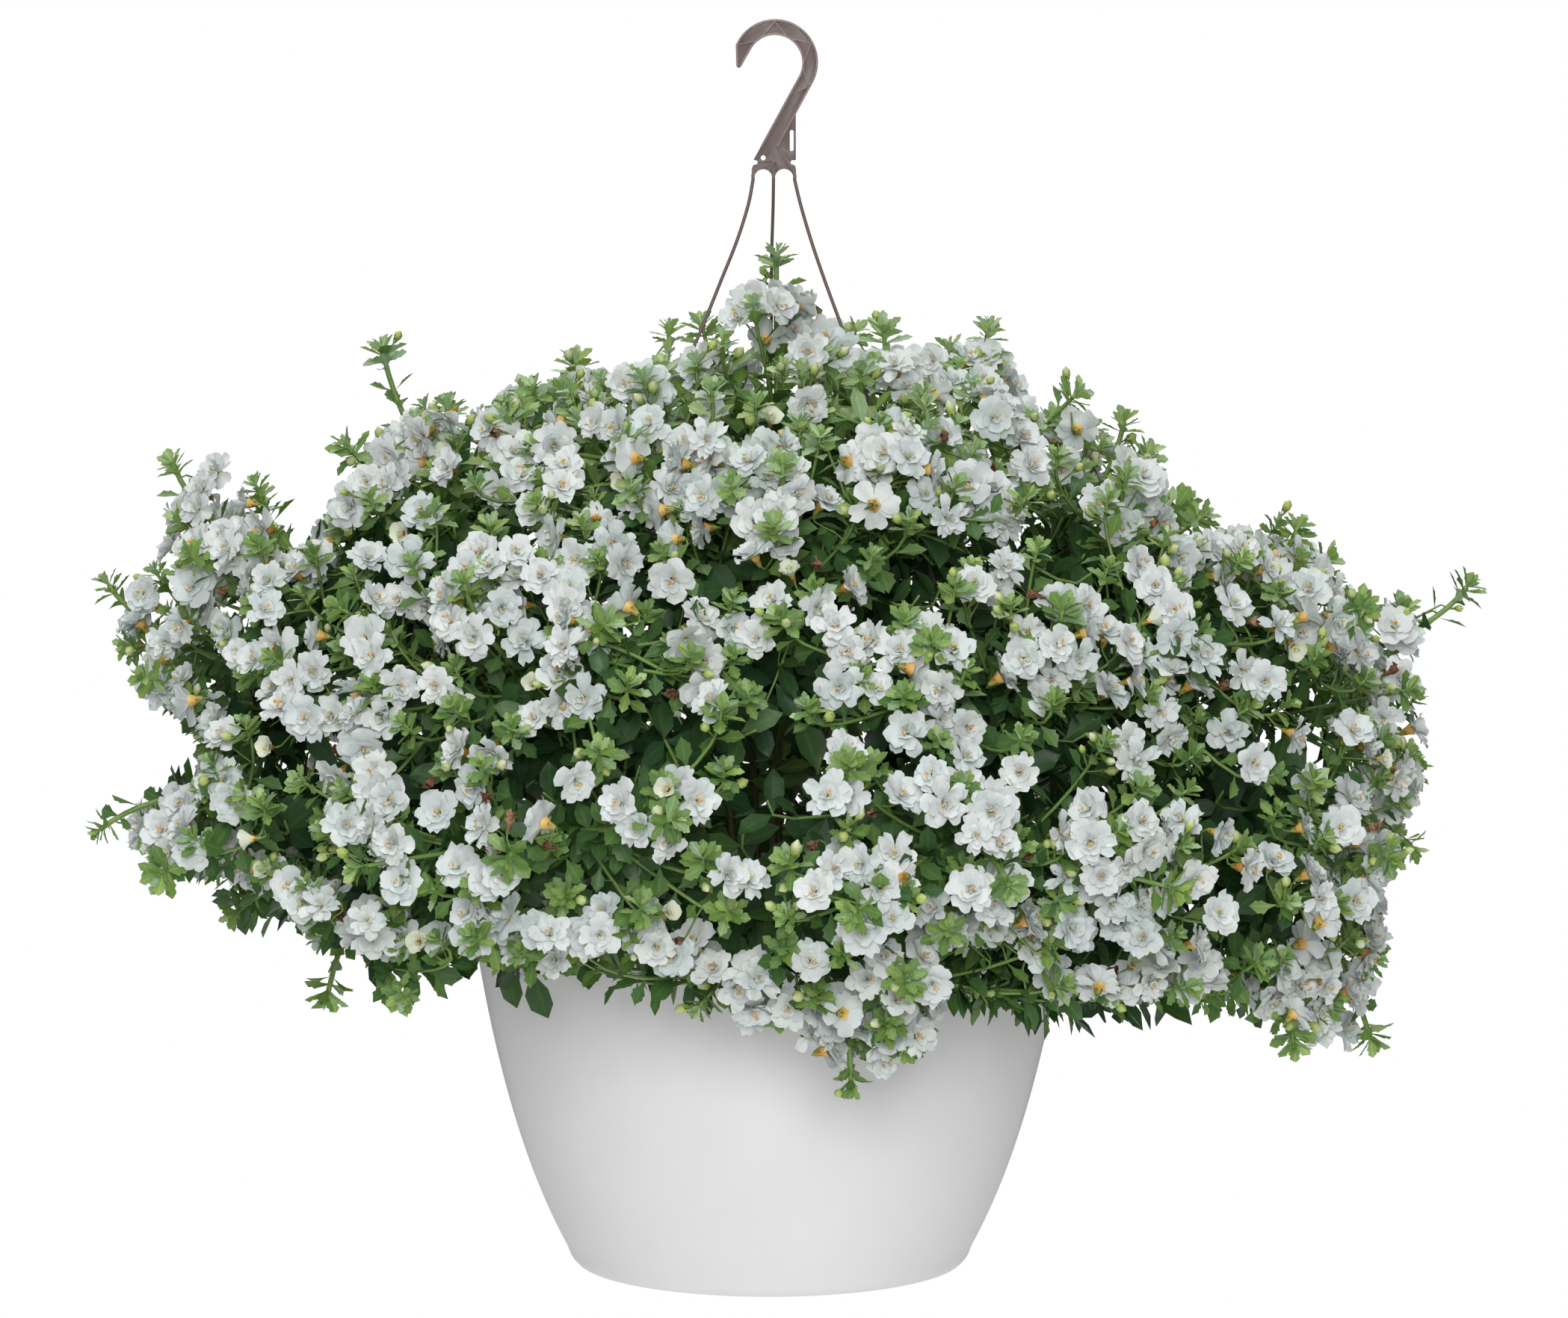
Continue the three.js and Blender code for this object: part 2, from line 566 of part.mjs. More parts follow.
function growLeaves(shoot) {
  const pair = onRod(shoot.stem, STEM.steps, LEAF_PAIR_AT);
  for (const turn of [90, -90]) growLeaf(shoot, pair, LEAF.lean, radians(turn), 1);
  const tips = [onRod(shoot.stem, STEM.steps, ROSETTE_AT)];
  for (const arm of shoot.arms) tips.push(onRod(arm, SIDE_STEM.steps, ROSETTE_AT));
  for (const tip of tips) {
    for (let k = 0; k < ROSETTE.leaves; k++) {
      const turn = (2 * Math.PI * k) / ROSETTE.leaves + Math.PI / 4;
      growLeaf(shoot, tip, ROSETTE.lean, turn, ROSETTE.scale);
    }
  }
}

const group = new THREE.Group();
group.name = "potted_bacopa";
group.add(meshOf("pot", pot(), WHITE_PLASTIC));
group.add(meshOf("soil", soil(), PEAT));
group.add(meshOf("hanger_hook", hook(), BROWN_PLASTIC));
for (const name of Object.keys(LEG_ROUTES)) {
  group.add(meshOf(`hanger_leg_${name}`, leg(name), BROWN_PLASTIC));
}

holdHanger();
const shoots = SHOOTS.map(growStem);
for (const grow of [growSideShoots, growStalk, growHeads, growLeaves]) shoots.forEach(grow);
for (const { name, truss, stem, solids, heads } of shoots) {
  group.add(meshOf(name, joined(solids), GREEN));
  // The stalk is cut back to just clear of the stem that it springs from
  const bark = rod(stem, STEM.radius + GAP / Math.cos(Math.PI / STEM.sides), STEM.sides, STEM.steps);
  group.add(meshOf(truss, joined([joined(heads).subtract(bark)]), WHITE_PETAL));
}
export default group;
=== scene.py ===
"""A hanging pot of white double bacopa: satin bowl, potting mix, moulded hanger, and a mound of
leafy shoots, double flowers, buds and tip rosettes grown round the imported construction."""
import math

import bpy
import numpy as np
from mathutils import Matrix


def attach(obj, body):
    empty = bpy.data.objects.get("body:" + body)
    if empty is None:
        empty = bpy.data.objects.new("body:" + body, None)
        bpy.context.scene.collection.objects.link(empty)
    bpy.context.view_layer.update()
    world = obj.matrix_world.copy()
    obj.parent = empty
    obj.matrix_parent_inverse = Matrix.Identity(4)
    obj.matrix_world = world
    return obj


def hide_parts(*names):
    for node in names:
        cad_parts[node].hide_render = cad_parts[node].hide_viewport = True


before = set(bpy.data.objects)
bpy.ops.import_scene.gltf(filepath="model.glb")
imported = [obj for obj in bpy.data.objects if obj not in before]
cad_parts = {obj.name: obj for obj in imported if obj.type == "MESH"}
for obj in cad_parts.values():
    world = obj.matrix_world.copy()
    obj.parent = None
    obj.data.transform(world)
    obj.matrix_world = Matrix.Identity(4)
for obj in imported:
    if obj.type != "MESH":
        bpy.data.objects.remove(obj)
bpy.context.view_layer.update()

# Sizes below are millimetres, as in the construction, and MM turns them into Blender's metres
MM = 0.001
UP = np.array([0.0, 0.0, 1.0])
LEVEL = np.array([1, 1, 0])
random = np.random.default_rng(20)

# Camera and light
LENS = 135
SENSOR = 36
CAMERA_TARGET = (6.4, 0.0, 268.9)
CAMERA_DISTANCE = 2600
CAMERA_ELEVATION = 5.5
FLOOR_DROP = 900
FLOOR_HALF = 3900
BACKDROP = 1.0
SKY_LIGHT = 0.11
LIGHTS = {
    "key": {"kind": "AREA", "place": (40, -2900, 1100), "size": 1100, "power": 51},
    "back": {"kind": "AREA", "place": (-250, 2600, 2500), "size": 1900, "power": 44},
    "top": {"kind": "SUN", "place": (-400, -900, 2900), "angle": 36, "power": 1.42},
}

# Pot, its outline starting a hair from the axis
POT_HEIGHT = 165
FOOT_RADIUS = 85.5
FOOT_TURN = (88.6, 3.2)
SIDE_START = (90.4, 8)
SIDE_PULL = (120, 63)
RIM_RADIUS = 133.4
WALL = 2.2
FLOOR = 3
LIP_WIDTH = 3
LIP_HEIGHT = 5
LIP_UNDERCUT = 1.2
LIP_ROUNDS = (0.5, 0.7, 1.2, 0.8)
FOOT_ROUNDS = (1.2, 1.6)
CHANNEL = {"inner": 46, "outer": 66, "depth": 1.2}
DRAINS = {"count": 6, "ring": 56, "radius": 5}
POT_SEGMENTS = 168
AXIS = 0.01
SHARP_EDGES = {"pot": 38, "hanger": 40}
LUG_ANGLES = {"left": 210, "right": 330, "back": 90}
LUG_RING = 123
LUG_SIZE = (15, 16, 3)
LUG_TOP = 158
LUG_HOLE = 1.9

# Potting mix, with GAP as the least air between two pieces
SOIL_EDGE = 144
SOIL_SHOULDER = (80, 148)
SOIL_MIDDLE = 149
SOIL_RINGS = 34
SOIL_SEGMENTS = 160
SOIL_ROOM = {"wall": 0.6, "edge": 0.9}
CRUMBLE = 0.7
LUMPS = 0.8
CRUMBS = {"count": 900, "size": (0.8, 2.3), "lift": 0.6}
GAP = 0.3

# Hanger hook, drawn in the X-Z plane, circles as (x, z, radius)
WEB_DEPTH = 1.6
FLANGE = {"depth": 4, "width": 0.9}
RIB = {"depth": 3.2, "width": 0.6}
EDGE_ROUND = 0.18
HOOK_OUT = (2.5, 531.5, 18.8)
HOOK_IN = (2.4, 531.3, 12)
TIP_OUT = (-14.5, 538.9)
TIP_END = ((-14.5, 529.9), (-13.5, 528.9), (-12.4, 529.6))
TIP_IN = (-7.6, 538)
SHANK_OUT = (19, 522.5)
SHANK_IN = (12.9, 525.5)
FLANGE_FEET = {"out": (3.7, 494.3), "in": (-4, 494.6)}
PLATE = {"left": -7, "right": 11.6, "top": 508.8, "bottom": 488.8}
NOTCHES = {"left": -6.1, "right": 10.2, "z": 487.8, "radius": 0.95}
SHOULDER = 483.6
LEGS = {"left": (-7.8, -6.6), "middle": (1.2, 2.4), "right": (10.5, 11.7), "bottom": 480.6, "rise": 0.3}
SLOT = {"x": 9.8, "width": 1.7, "low": 492.7, "high": 502}
EYE = (-2.7, 489.8, 1.1)
STUD = {"circle": (2, 488.1, 0.75), "height": 0.5}
RIBS = ((-13.8, 539.3), (-4.8, 541.4), (2.4, 549.8), (8.3, 542.3), (18.6, 540.2), (14.8, 529.9),
        (17.4, 520.8), (8.8, 516.8))

# Hanger legs, the same routes as the construction's
LEG_RADIUS = 0.75
LEG_SIDES = 10
LEG_STEPS = 8
LEG_IN_HOOK = 2.5
LEG_FOOT = {"above": 8, "below": 2}
LEG_ROUTES = {
    "left": [(-7.2, 0, 480), (-9.1, -2, 470), (-14.1, -6, 454), (-20.9, -11, 437), (-29, -17, 417),
             (-48, -28, 372), (-72, -42, 306), (-94, -54.5, 235), (-104.5, -60.5, 185)],
    "right": [(11.1, 0, 480), (13.5, -2, 470), (18.2, -6, 454), (24, -11, 437), (31.4, -17, 417),
              (48, -28, 372), (72, -42, 306), (94, -54.5, 235), (104.5, -60.5, 185)],
    "back": [(1.8, 0, 480), (1.6, 4, 468), (1, 14, 448), (0.8, 28, 420),
             (0.5, 55, 362), (0.3, 84, 296), (0.1, 110, 230), (0, 121, 185)],
}
BARB = {"top": 3, "bottom": 1, "height": 5}
COLLAR = {"radius": 3, "height": 1.5}

# Shoots: where each main stem ends, then where its side shoots end
SHOOTS = [
    [(3, 10, 446), (-30, 42, 414), (38, 30, 412)],
    [(-86, 30, 398), (-45, 40, 412), (-122, 70, 372)],
    [(97, 20, 414), (50, -28, 414), (134, -10, 386), (80, 18, 404)],
    [(-171, 15, 404), (-181, -60, 366), (-176, 84, 352)],
    [(158, 30, 372), (186, -62, 336), (188, 100, 330), (168, 26, 358)],
    [(-261, -20, 357), (-246, -92, 322), (-238, 66, 322), (-256, -28, 332)],
    [(232, -14, 328), (230, 74, 322), (252, -96, 300), (244, -10, 314)],
    [(-294, 20, 300), (-268, -74, 268), (-272, 104, 256), (-284, 8, 274)],
    [(309, 10, 300), (276, -66, 262), (286, 92, 250), (280, 4, 290)],
    [(-292, -40, 198), (-256, -128, 190), (-282, 56, 182)],
    [(282, -24, 188), (262, -122, 196), (284, 66, 196), (284, -10, 222)],
    [(262, -52, 108), (222, -126, 118), (258, 36, 122), (264, -30, 144)],
    [(-190, -84, 132), (-236, -14, 157), (-152, -178, 146)],
    [(34, -196, 112), (-28, -204, 146), (88, -186, 150)],
    [(6, -176, 366), (-58, -150, 376), (66, -140, 380)],
    [(-124, -196, 318), (-178, -160, 306), (-66, -222, 304)],
    [(120, -204, 308), (66, -236, 298), (178, -166, 296)],
    [(-104, -262, 214), (-166, -228, 206), (-38, -282, 232)],
    [(96, -268, 204), (164, -232, 198), (34, -290, 196)],
    [(-30, 166, 372), (-84, 140, 372), (66, 150, 366)],
    [(-136, 196, 304), (-206, 152, 288), (-66, 232, 306)],
    [(140, 192, 300), (206, 150, 280), (70, 234, 304)],
    [(22, 288, 220), (-64, 276, 208), (84, 268, 212)],
    [(-180, 222, 178), (-236, 158, 164), (-122, 252, 140)],
    [(184, 218, 172), (238, 152, 158), (124, 250, 136)],
    [(-28, 214, 120), (-80, 206, 126), (52, 208, 118)],
]
FEET = {"inner": 14, "outer": 98, "far": 200}
CREST = 228
FORKS = (0.46, 0.7, 0.82)
SIDE_SPRING = 0.2
SIDE_OVER = (0.3, 0.3, 0)

# A main stem's curve, by whether its tip is above the crest, and how its tube thins and ages
STEM_RISE = 0.6
STEM_HIGH = {"out": 0.86, "up": 0.5, "lift": -14}
STEM_LOW = {"out": 0.75, "up": 1.1, "lift": 8}
STEM_TAPER = 0.7
OLD_STEM = 260

# Kinds of limb: radius, bare length at the foot, points along, sides round, and flowers near the tip
LIMBS = {
    "stem": {"radius": 1.7, "bare": 30, "points": 32, "sides": 7, "flowers": 5.5},
    "side": {"radius": 1.25, "bare": 8, "points": 20, "sides": 4, "flowers": 3.4},
    "sprig": {"radius": 1.0, "bare": 9, "points": 10, "sides": 4, "flowers": 1.6},
    "inner": {"radius": 1.0, "bare": 9, "points": 7, "sides": 3},
}

# The mound: its middle, how far its surface reaches, and how low its edge hangs by compass angle
MOUND_MIDDLE = np.array([0.0, 0.0, 190.0])
MOUND_BLEND = 0.15
MOUND_FLATTEN = 1.3
SPRIGS = {
    "sprig": {"tries": 4200, "out": (-26, -4), "length": 72, "apart": (20.5, 33), "from_tips": 13},
    "inner": {"tries": 3000, "out": (-100, -38), "length": 50, "apart": (21, 28), "from_tips": 0},
}

# Where sprigs may start along a limb, what a start costs, and how they bend and stay clear of the pot
SPRIG_STARTS = {"stem": 0.3, "other": 0.08, "to_tip": 18, "apart": 6, "above_pot": 12, "beside_pot": 6}
SPRIG_COST = {"bend": 45, "shallow": 60, "at_pot": 1000, "luck": 14}
SPRIG_DEPTH = 12
SPRIG_ROOM = 8
RAGGED = 8
SPRING = 0.35
FRONT_TO_BACK = (-60, 100)
SPRIG_RISE = 0.9
LOW_EDGE = [
    (0, 160), (20, 140), (45, 124), (70, 118), (90, 114), (110, 118), (135, 132), (155, 150),
    (180, 172), (195, 158), (206, 128), (220, 122), (235, 140), (251, 168), (262, 146), (275, 128),
    (284, 118), (291, 126), (297, 154), (305, 134), (315, 110), (330, 106), (345, 100), (352, 128),
    (360, 160),
]

# The outline seen from the front, brought to the plane Y = 0: its top and bottom by X, its sides by Z
TOP_EDGE = [
    (-320, 290), (-300, 298), (-278, 356), (-256, 368), (-228, 358), (-218, 320), (-204, 320), (-190, 342),
    (-172, 368), (-154, 389), (-132, 391), (-105, 398), (-66, 403), (-32, 410), (-12, 440), (20, 442),
    (38, 409), (70, 413), (102, 415), (114, 388), (138, 383), (150, 372), (168, 362), (179, 326), (206, 330),
    (235, 326), (254, 306), (270, 300), (296, 303), (320, 298),
]
BOTTOM_EDGE = [
    (-305, 190), (-276, 170), (-256, 170), (-236, 165), (-214, 160), (-200, 138), (-157, 130), (-137, 136),
    (-97, 120), (-76, 134), (-64, 140), (-46, 126), (-28, 122), (-10, 104), (6, 89), (48, 78), (70, 88),
    (77, 136), (106, 140), (122, 116), (135, 112), (192, 113), (222, 106), (242, 93), (268, 92),
    (280, 152), (290, 190), (305, 290),
]
SIDE_EDGES = [
    (90, -140, 262), (114, -190, 270), (142, -212, 278), (160, -256, 278), (176, -288, 282),
    (198, -296, 286), (208, -262, 296), (222, -256, 300), (244, -258, 296), (262, -290, 292),
    (296, -298, 314), (320, -300, 320),
]
TIP_ROOM = 9
HEAD_EDGE_ROOM = 12

# Leaves; those above a height, over a stretch of heights, get painted light from above: paler by a share
HIGH_PAINTED_LIGHT = (310, 90, 0.19)
LEAF_LENGTH = (11.5, 17)
YOUNG_LEAF = 8.6
YOUNG_END = 15
LEAF_SPACING = (6.5, 10)
LEAF_LEAN = 66
LEAF_MISSING = 0.06
LEAF_AGE = 0.72
LEAF_YOUNGER = 0.6
INNER_OLDER = 0.2
INNER_LEAF = 1.3
PLAIN_BELOW = 0.06

# Rosettes: each whorl's leaf length, lean, height, number of leaves and added age
ROSETTE_WHORLS = ((9.2, 76, -4.6, 4, 0.08), (8.8, 62, -2.2, 4, 0.08), (7.4, 44, 0, 4, 0), (5, 22, 1.2, 3, 0))
ROSETTE_SIZE = (0.8, 1.15)
MAIN_ROSETTE = 1.2
ROSETTE_AGE = 0.14

# Flowers
PEDICEL = (13, 21)
PEDICEL_RADIUS = 0.5
LONG_STALK = 26
HEAD_DEPTH = 7
HEAD_SIZE = (0.84, 1.08)
SMALL_HEAD = 0.75
HEAD_ROOM = 11.5
HEADS_UNDER = 16
HEAD_CLEAR = 13
HEAD_TURN = 2.4
SETTLE = {"rounds": 14, "push": 0.3, "pull": 0.25, "deep": (6, 9), "high": (12, 14), "at_leg": 4}
TIP_SHARES = (0.25, 0.5, 0.95, 2.15)
MORE_IN_FRONT = (0.8, 0.45)
BUDS_A_TIP = 0.7
BUD_SIZE = (0.6, 0.95)
BUD_STALK = (6, 13)
BUD_DEPTH = 4.6
WITHERED_SHARE = 0.05
OPENING_SHARE = 0.035
AWAY_SHARE = 0.17
SLIMNESS = (1, 0.94, 1.08, 0.74, 1, 1.06, 0.92, 0.8, 1.1, 1, 0.96, 0.68)


# Vectors and curves

def unit(vectors):
    return vectors / np.maximum(np.linalg.norm(vectors, axis=-1, keepdims=True), 1e-9)


def square_to(vectors, axes):
    """The part of each vector that is square to its axis, at length one."""
    return unit(vectors - np.sum(vectors * axes, axis=-1, keepdims=True) * axes)


def frames(x_axes, z_axes):
    """Rotations whose X columns are the given axes and whose Z columns lean to the given ones."""
    x_axes = unit(x_axes)
    z_axes = square_to(z_axes, x_axes)
    return np.stack([x_axes, np.cross(z_axes, x_axes), z_axes], axis=-1)


def cubic(a, b, c, d, count):
    t = np.linspace(0, 1, count)[:, None]
    return (1 - t) ** 3 * a + 3 * t * (1 - t) ** 2 * b + 3 * t * t * (1 - t) * c + t ** 3 * d


def quadratic(a, b, c, count):
    t = np.linspace(0, 1, count)[:, None]
    return (1 - t) ** 2 * a + 2 * t * (1 - t) * b + t * t * c


def catmull_rom(points, steps):
    """The centripetal curve through points, with steps to each stretch."""
    points = np.array(points, float)
    ends = [2 * points[0] - points[1], 2 * points[-1] - points[-2]]
    points = np.vstack([ends[0], points, ends[1]])
    t = np.linspace(0, 1, steps, endpoint=False)[:, None]
    curve = []
    for p0, p1, p2, p3 in zip(points, points[1:], points[2:], points[3:]):
        before, across, after = (math.sqrt(np.linalg.norm(b - a)) for a, b in ((p0, p1), (p1, p2), (p2, p3)))
        start = p2 - p1 + across * ((p1 - p0) / before - (p2 - p0) / (before + across))
        end = p2 - p1 + across * ((p3 - p2) / after - (p3 - p1) / (across + after))
        turn = 3 * (p2 - p1) - 2 * start - end
        curve.append(p1 + start * t + turn * t ** 2 + (start + end - 2 * (p2 - p1)) * t ** 3)
    return np.vstack([*curve, points[-2]])


class Path:
    """A line of points that can be read by distance along it."""

    def __init__(self, points):
        self.points = points
        self.run = np.concatenate([[0], np.cumsum(np.linalg.norm(np.diff(points, axis=0), axis=1))])
        self.length = self.run[-1]

    def at(self, distance):
        return np.array([np.interp(distance, self.run, self.points[:, i]) for i in range(3)])

    def along(self, distance, reach=3.0):
        ahead = self.at(min(distance + reach, self.length))
        return unit(ahead - self.at(max(distance - reach, 0)))


# Shapes gathered into one piece

class Shape:
    """Triangles with a tint at each corner point and a material number to each face."""

    def __init__(self, points, faces, tint=None, skin=0):
        self.points = np.asarray(points, float).reshape(-1, 3)
        self.faces = np.asarray(faces, int).reshape(-1, 3)
        self.tint = np.zeros((len(self.points), 3)) if tint is None else np.asarray(tint, float)
        self.skin = np.full(len(self.faces), skin) if np.isscalar(skin) else np.asarray(skin)

    def turned(self, degrees):
        angle = math.radians(degrees)
        c, s = math.cos(angle), math.sin(angle)
        spin = np.array([[c, -s, 0], [s, c, 0], [0, 0, 1]])
        return Shape(self.points @ spin.T, self.faces, self.tint, self.skin)


def together(shapes):
    """Several shapes as one."""
    starts = np.cumsum([0] + [len(s.points) for s in shapes[:-1]])
    return Shape(
        np.vstack([s.points for s in shapes]),
        np.vstack([s.faces + start for s, start in zip(shapes, starts)]),
        np.vstack([s.tint for s in shapes]),
        np.concatenate([s.skin for s in shapes]),
    )


def stamped(shape, places, turns, sizes, tints=None):
    """Copies of a shape at places, turned and sized, with each copy's tint added to the shape's."""
    count = len(places)
    points = np.einsum("kij,nj->kni", turns, shape.points) * sizes[:, None, None] + places[:, None, :]
    faces = shape.faces[None] + (np.arange(count) * len(shape.points))[:, None, None]
    tint = np.repeat(shape.tint[None], count, axis=0)
    if tints is not None:
        tint = tint + tints[:, None, :]
    return Shape(points.reshape(-1, 3), faces.reshape(-1, 3), tint.reshape(-1, 3), np.tile(shape.skin, count))


def grid_faces(columns, rows, closed=False):
    """Triangles of a sheet of rows x columns points, closed round its columns or not."""
    wide = columns if closed else columns - 1
    i, j = np.meshgrid(np.arange(wide), np.arange(rows - 1))
    a = (j * columns + i).ravel()
    b = (j * columns + (i + 1) % columns).ravel()
    c, d = b + columns, a + columns
    return np.vstack([np.stack([a, b, c], 1), np.stack([a, c, d], 1)])


def tube(points, radii, sides, tint=(0, 0, 0), skin=0):
    """A round stalk along points, closed at its far end by a point."""
    tangents = unit(np.gradient(points, axis=0))
    spare = np.eye(3)[np.argmin(np.abs(tangents).max(axis=0))]
    across = unit(np.cross(tangents, spare))
    other = np.cross(tangents, across)
    angles = np.linspace(0, 2 * math.pi, sides, endpoint=False)
    circle = np.cos(angles)[None, :, None] * across[:, None] + np.sin(angles)[None, :, None] * other[:, None]
    rings = points[:, None] + circle * np.asarray(radii)[:, None, None]
    body = grid_faces(sides, len(points), closed=True)
    last = (len(points) - 1) * sides
    corner = np.arange(sides)
    cap = np.stack([last + corner, last + (corner + 1) % sides, np.full(sides, last + sides)], 1)
    shape = Shape(np.vstack([rings.reshape(-1, 3), points[-1] + tangents[-1] * radii[-1]]),
                  np.vstack([body, cap]), skin=skin)
    shape.tint[:] = tint
    return shape


def lathe(profile, segments, skin=0, closed=False):
    """A line of (radius, height) turned about the Z axis, its end joined to its start where it is closed."""
    profile = np.array(profile, float)
    angles = np.linspace(0, 2 * math.pi, segments, endpoint=False)
    points = np.stack([
        profile[:, 0, None] * np.cos(angles),
        profile[:, 0, None] * np.sin(angles),
        np.repeat(profile[:, 1, None], segments, axis=1),
    ], axis=-1)
    faces = grid_faces(segments, len(profile) + closed, closed=True) % (len(profile) * segments)
    return Shape(points.reshape(-1, 3), faces, skin=skin)


def make_object(name, shape, materials):
    """A smooth mesh object from a shape, in metres, with a colour layer where the shape has tints."""
    used, faces = np.unique(shape.faces, return_inverse=True)
    faces = faces.reshape(-1, 3)
    mesh = bpy.data.meshes.new(name)
    mesh.vertices.add(len(used))
    mesh.vertices.foreach_set("co", (shape.points[used] * MM).astype(np.float32).ravel())
    mesh.loops.add(len(faces) * 3)
    mesh.loops.foreach_set("vertex_index", faces.astype(np.int32).ravel())
    mesh.polygons.add(len(faces))
    mesh.polygons.foreach_set("loop_start", np.arange(0, len(faces) * 3, 3, dtype=np.int32))
    mesh.polygons.foreach_set("material_index", shape.skin.astype(np.int32))
    if shape.tint.any():
        colours = np.ones((len(used), 4), np.float32)
        colours[:, :3] = np.clip(shape.tint[used], 0, 1)
        mesh.color_attributes.new("tint", "FLOAT_COLOR", "POINT").data.foreach_set("color", colours.ravel())
    mesh.update(calc_edges=True)
    mesh.validate()
    mesh.shade_smooth()
    for material in materials:
        mesh.materials.append(material)
    return linked(name, mesh)


def linked(name, data):
    """A new object in the scene."""
    thing = bpy.data.objects.new(name, data)
    bpy.context.scene.collection.objects.link(thing)
    return thing


def combine(piece, tools, operation):
    """Joins solids to a piece or cuts them out of it, one after another."""
    for tool in tools:
        boolean = piece.modifiers.new("boolean", "BOOLEAN")
        boolean.operation = operation
        boolean.object = tool
        boolean.solver = "EXACT"
    bake_modifiers(piece)
    for tool in tools:
        bpy.data.objects.remove(tool)


def bake_modifiers(piece):
    """Turns a piece's modifiers into its own mesh."""
    graph = bpy.context.evaluated_depsgraph_get()
    mesh = bpy.data.meshes.new_from_object(piece.evaluated_get(graph))
    old = piece.data
    piece.modifiers.clear()
    piece.data = mesh
    bpy.data.meshes.remove(old)


def smooth_by_angle(piece, degrees):
    piece.data.shade_smooth()
    piece.data.set_sharp_from_angle(angle=math.radians(degrees))


def finished(piece, slot, *nodes):
    """Rides a piece on the one body and hides the construction's nodes that it stands for; the slot is not
    used.
    """
    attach(piece, "root")
    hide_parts(*nodes)


# Materials

class Nodes:
    """A new material's nodes, with short calls to add and join them."""

    def __init__(self, name):
        self.material = bpy.data.materials.new(name)
        self.material.use_nodes = True
        self.tree = self.material.node_tree
        self.tree.nodes.clear()

    def give(self, node, key, value):
        """Sets a node's input to a value, or links it to another node's socket."""
        if isinstance(value, bpy.types.NodeSocket):
            self.tree.links.new(value, node.inputs[key])
        else:
            node.inputs[key].default_value = value

    def add(self, kind, inputs=None, **settings):
        node = self.tree.nodes.new("ShaderNode" + kind)
        for key, value in settings.items():
            setattr(node, key, value)
        for key, value in (inputs or {}).items():
            self.give(node, key, value)
        return node

    def ramp(self, factor, stops):
        """Colours by a factor, each stop with a colour or with one number for a grey."""
        node = self.add("ValToRGB", {"Fac": factor})
        elements = node.color_ramp.elements
        while len(elements) < len(stops):
            elements.new(0.5)
        for element, (place, colour) in zip(elements, stops):
            element.position = place
            element.color = (*np.broadcast_to(colour, 3), 1)
        return node.outputs["Color"]

    def mix(self, factor, a, b, blend="MIX"):
        node = self.add("Mix", data_type="RGBA", blend_type=blend)
        self.give(node, 0, factor)
        for key, colour in ((6, a), (7, b)):
            self.give(node, key, (*colour, 1) if isinstance(colour, tuple) else colour)
        return node.outputs[2]

    def times(self, colour, factors):
        return self.mix(1.0, colour, factors, "MULTIPLY")

    def place(self):
        return self.add("TexCoord").outputs["Object"]

    def noise(self, scale, detail=3, roughness=0.6):
        inputs = {"Vector": self.place(), "Scale": scale, "Detail": detail, "Roughness": roughness}
        return self.add("TexNoise", inputs).outputs["Fac"]

    def tint(self):
        colour = self.add("Attribute", attribute_name="tint").outputs["Color"]
        return self.add("SeparateColor", {"Color": colour}).outputs

    def grain(self, scale, detail, strength, depth, roughness=0.6):
        """Normals roughened by a noise, its depth in metres."""
        height = self.noise(scale, detail, roughness)
        return self.add("Bump", {"Height": height, "Strength": strength, "Distance": depth}).outputs["Normal"]

    def end(self, colour, roughness, normal=None, specular=0.5, through=None, share=0.2):
        """The finished material, which lets a share of the light through where it has a colour for that."""
        inputs = {"Base Color": colour, "Roughness": roughness, "Specular IOR Level": specular}
        if normal is not None:
            inputs["Normal"] = normal
        shader = self.add("BsdfPrincipled", inputs).outputs["BSDF"]
        if through is not None:
            lit = self.add("BsdfTranslucent", {"Color": through}).outputs["BSDF"]
            shader = self.add("MixShader", {0: share, 1: shader, 2: lit}).outputs["Shader"]
        self.add("OutputMaterial", {"Surface": shader})
        return self.material


def leaf_material():
    """Green by age, where the age tint also carries painted light on the high leaves, paler along the midrib,
    mottled, and lit through from behind.
    """
    m = Nodes("bacopa_leaf")
    age, rib, own = m.tint()[:3]
    green = m.ramp(age, [
        (0.0, (0.47, 0.62, 0.38)), (0.12, (0.30, 0.46, 0.16)), (0.3, (0.19, 0.325, 0.094)),
        (0.6, (0.088, 0.193, 0.056)), (1.0, (0.025, 0.074, 0.026)),
    ])
    green = m.mix(m.ramp(rib, [(0.0, 0.5), (0.22, 0.0)]), green, m.times(green, (1.9, 1.7, 1.7)))
    green = m.mix(own, m.times(green, (0.78, 0.84, 0.95)), m.times(green, (1.2, 1.12, 0.92)))
    mottle = m.ramp(m.noise(260, 4), [(0.3, 0.0), (0.75, 0.55)])
    green = m.mix(mottle, green, m.times(green, (0.62, 0.68, 0.7)))
    return m.end(green, 0.46, m.grain(900, 2, 0.25, 0.0006), specular=0.42,
                 through=m.times(green, (1.25, 1.35, 0.6)), share=0.22)


def stem_material():
    """Fresh green with a browner, older lower stem."""
    m = Nodes("bacopa_stem")
    green = m.ramp(m.tint()[0], [
        (0.0, (0.20, 0.33, 0.08)), (0.5, (0.115, 0.20, 0.05)), (1.0, (0.10, 0.075, 0.035)),
    ])
    streaks = m.ramp(m.noise(500, 3), [(0.35, 0.0), (0.7, 0.5)])
    green = m.mix(streaks, green, m.times(green, (0.7, 0.7, 0.7)))
    return m.end(green, 0.5, m.grain(1500, 2, 0.3, 0.0004))


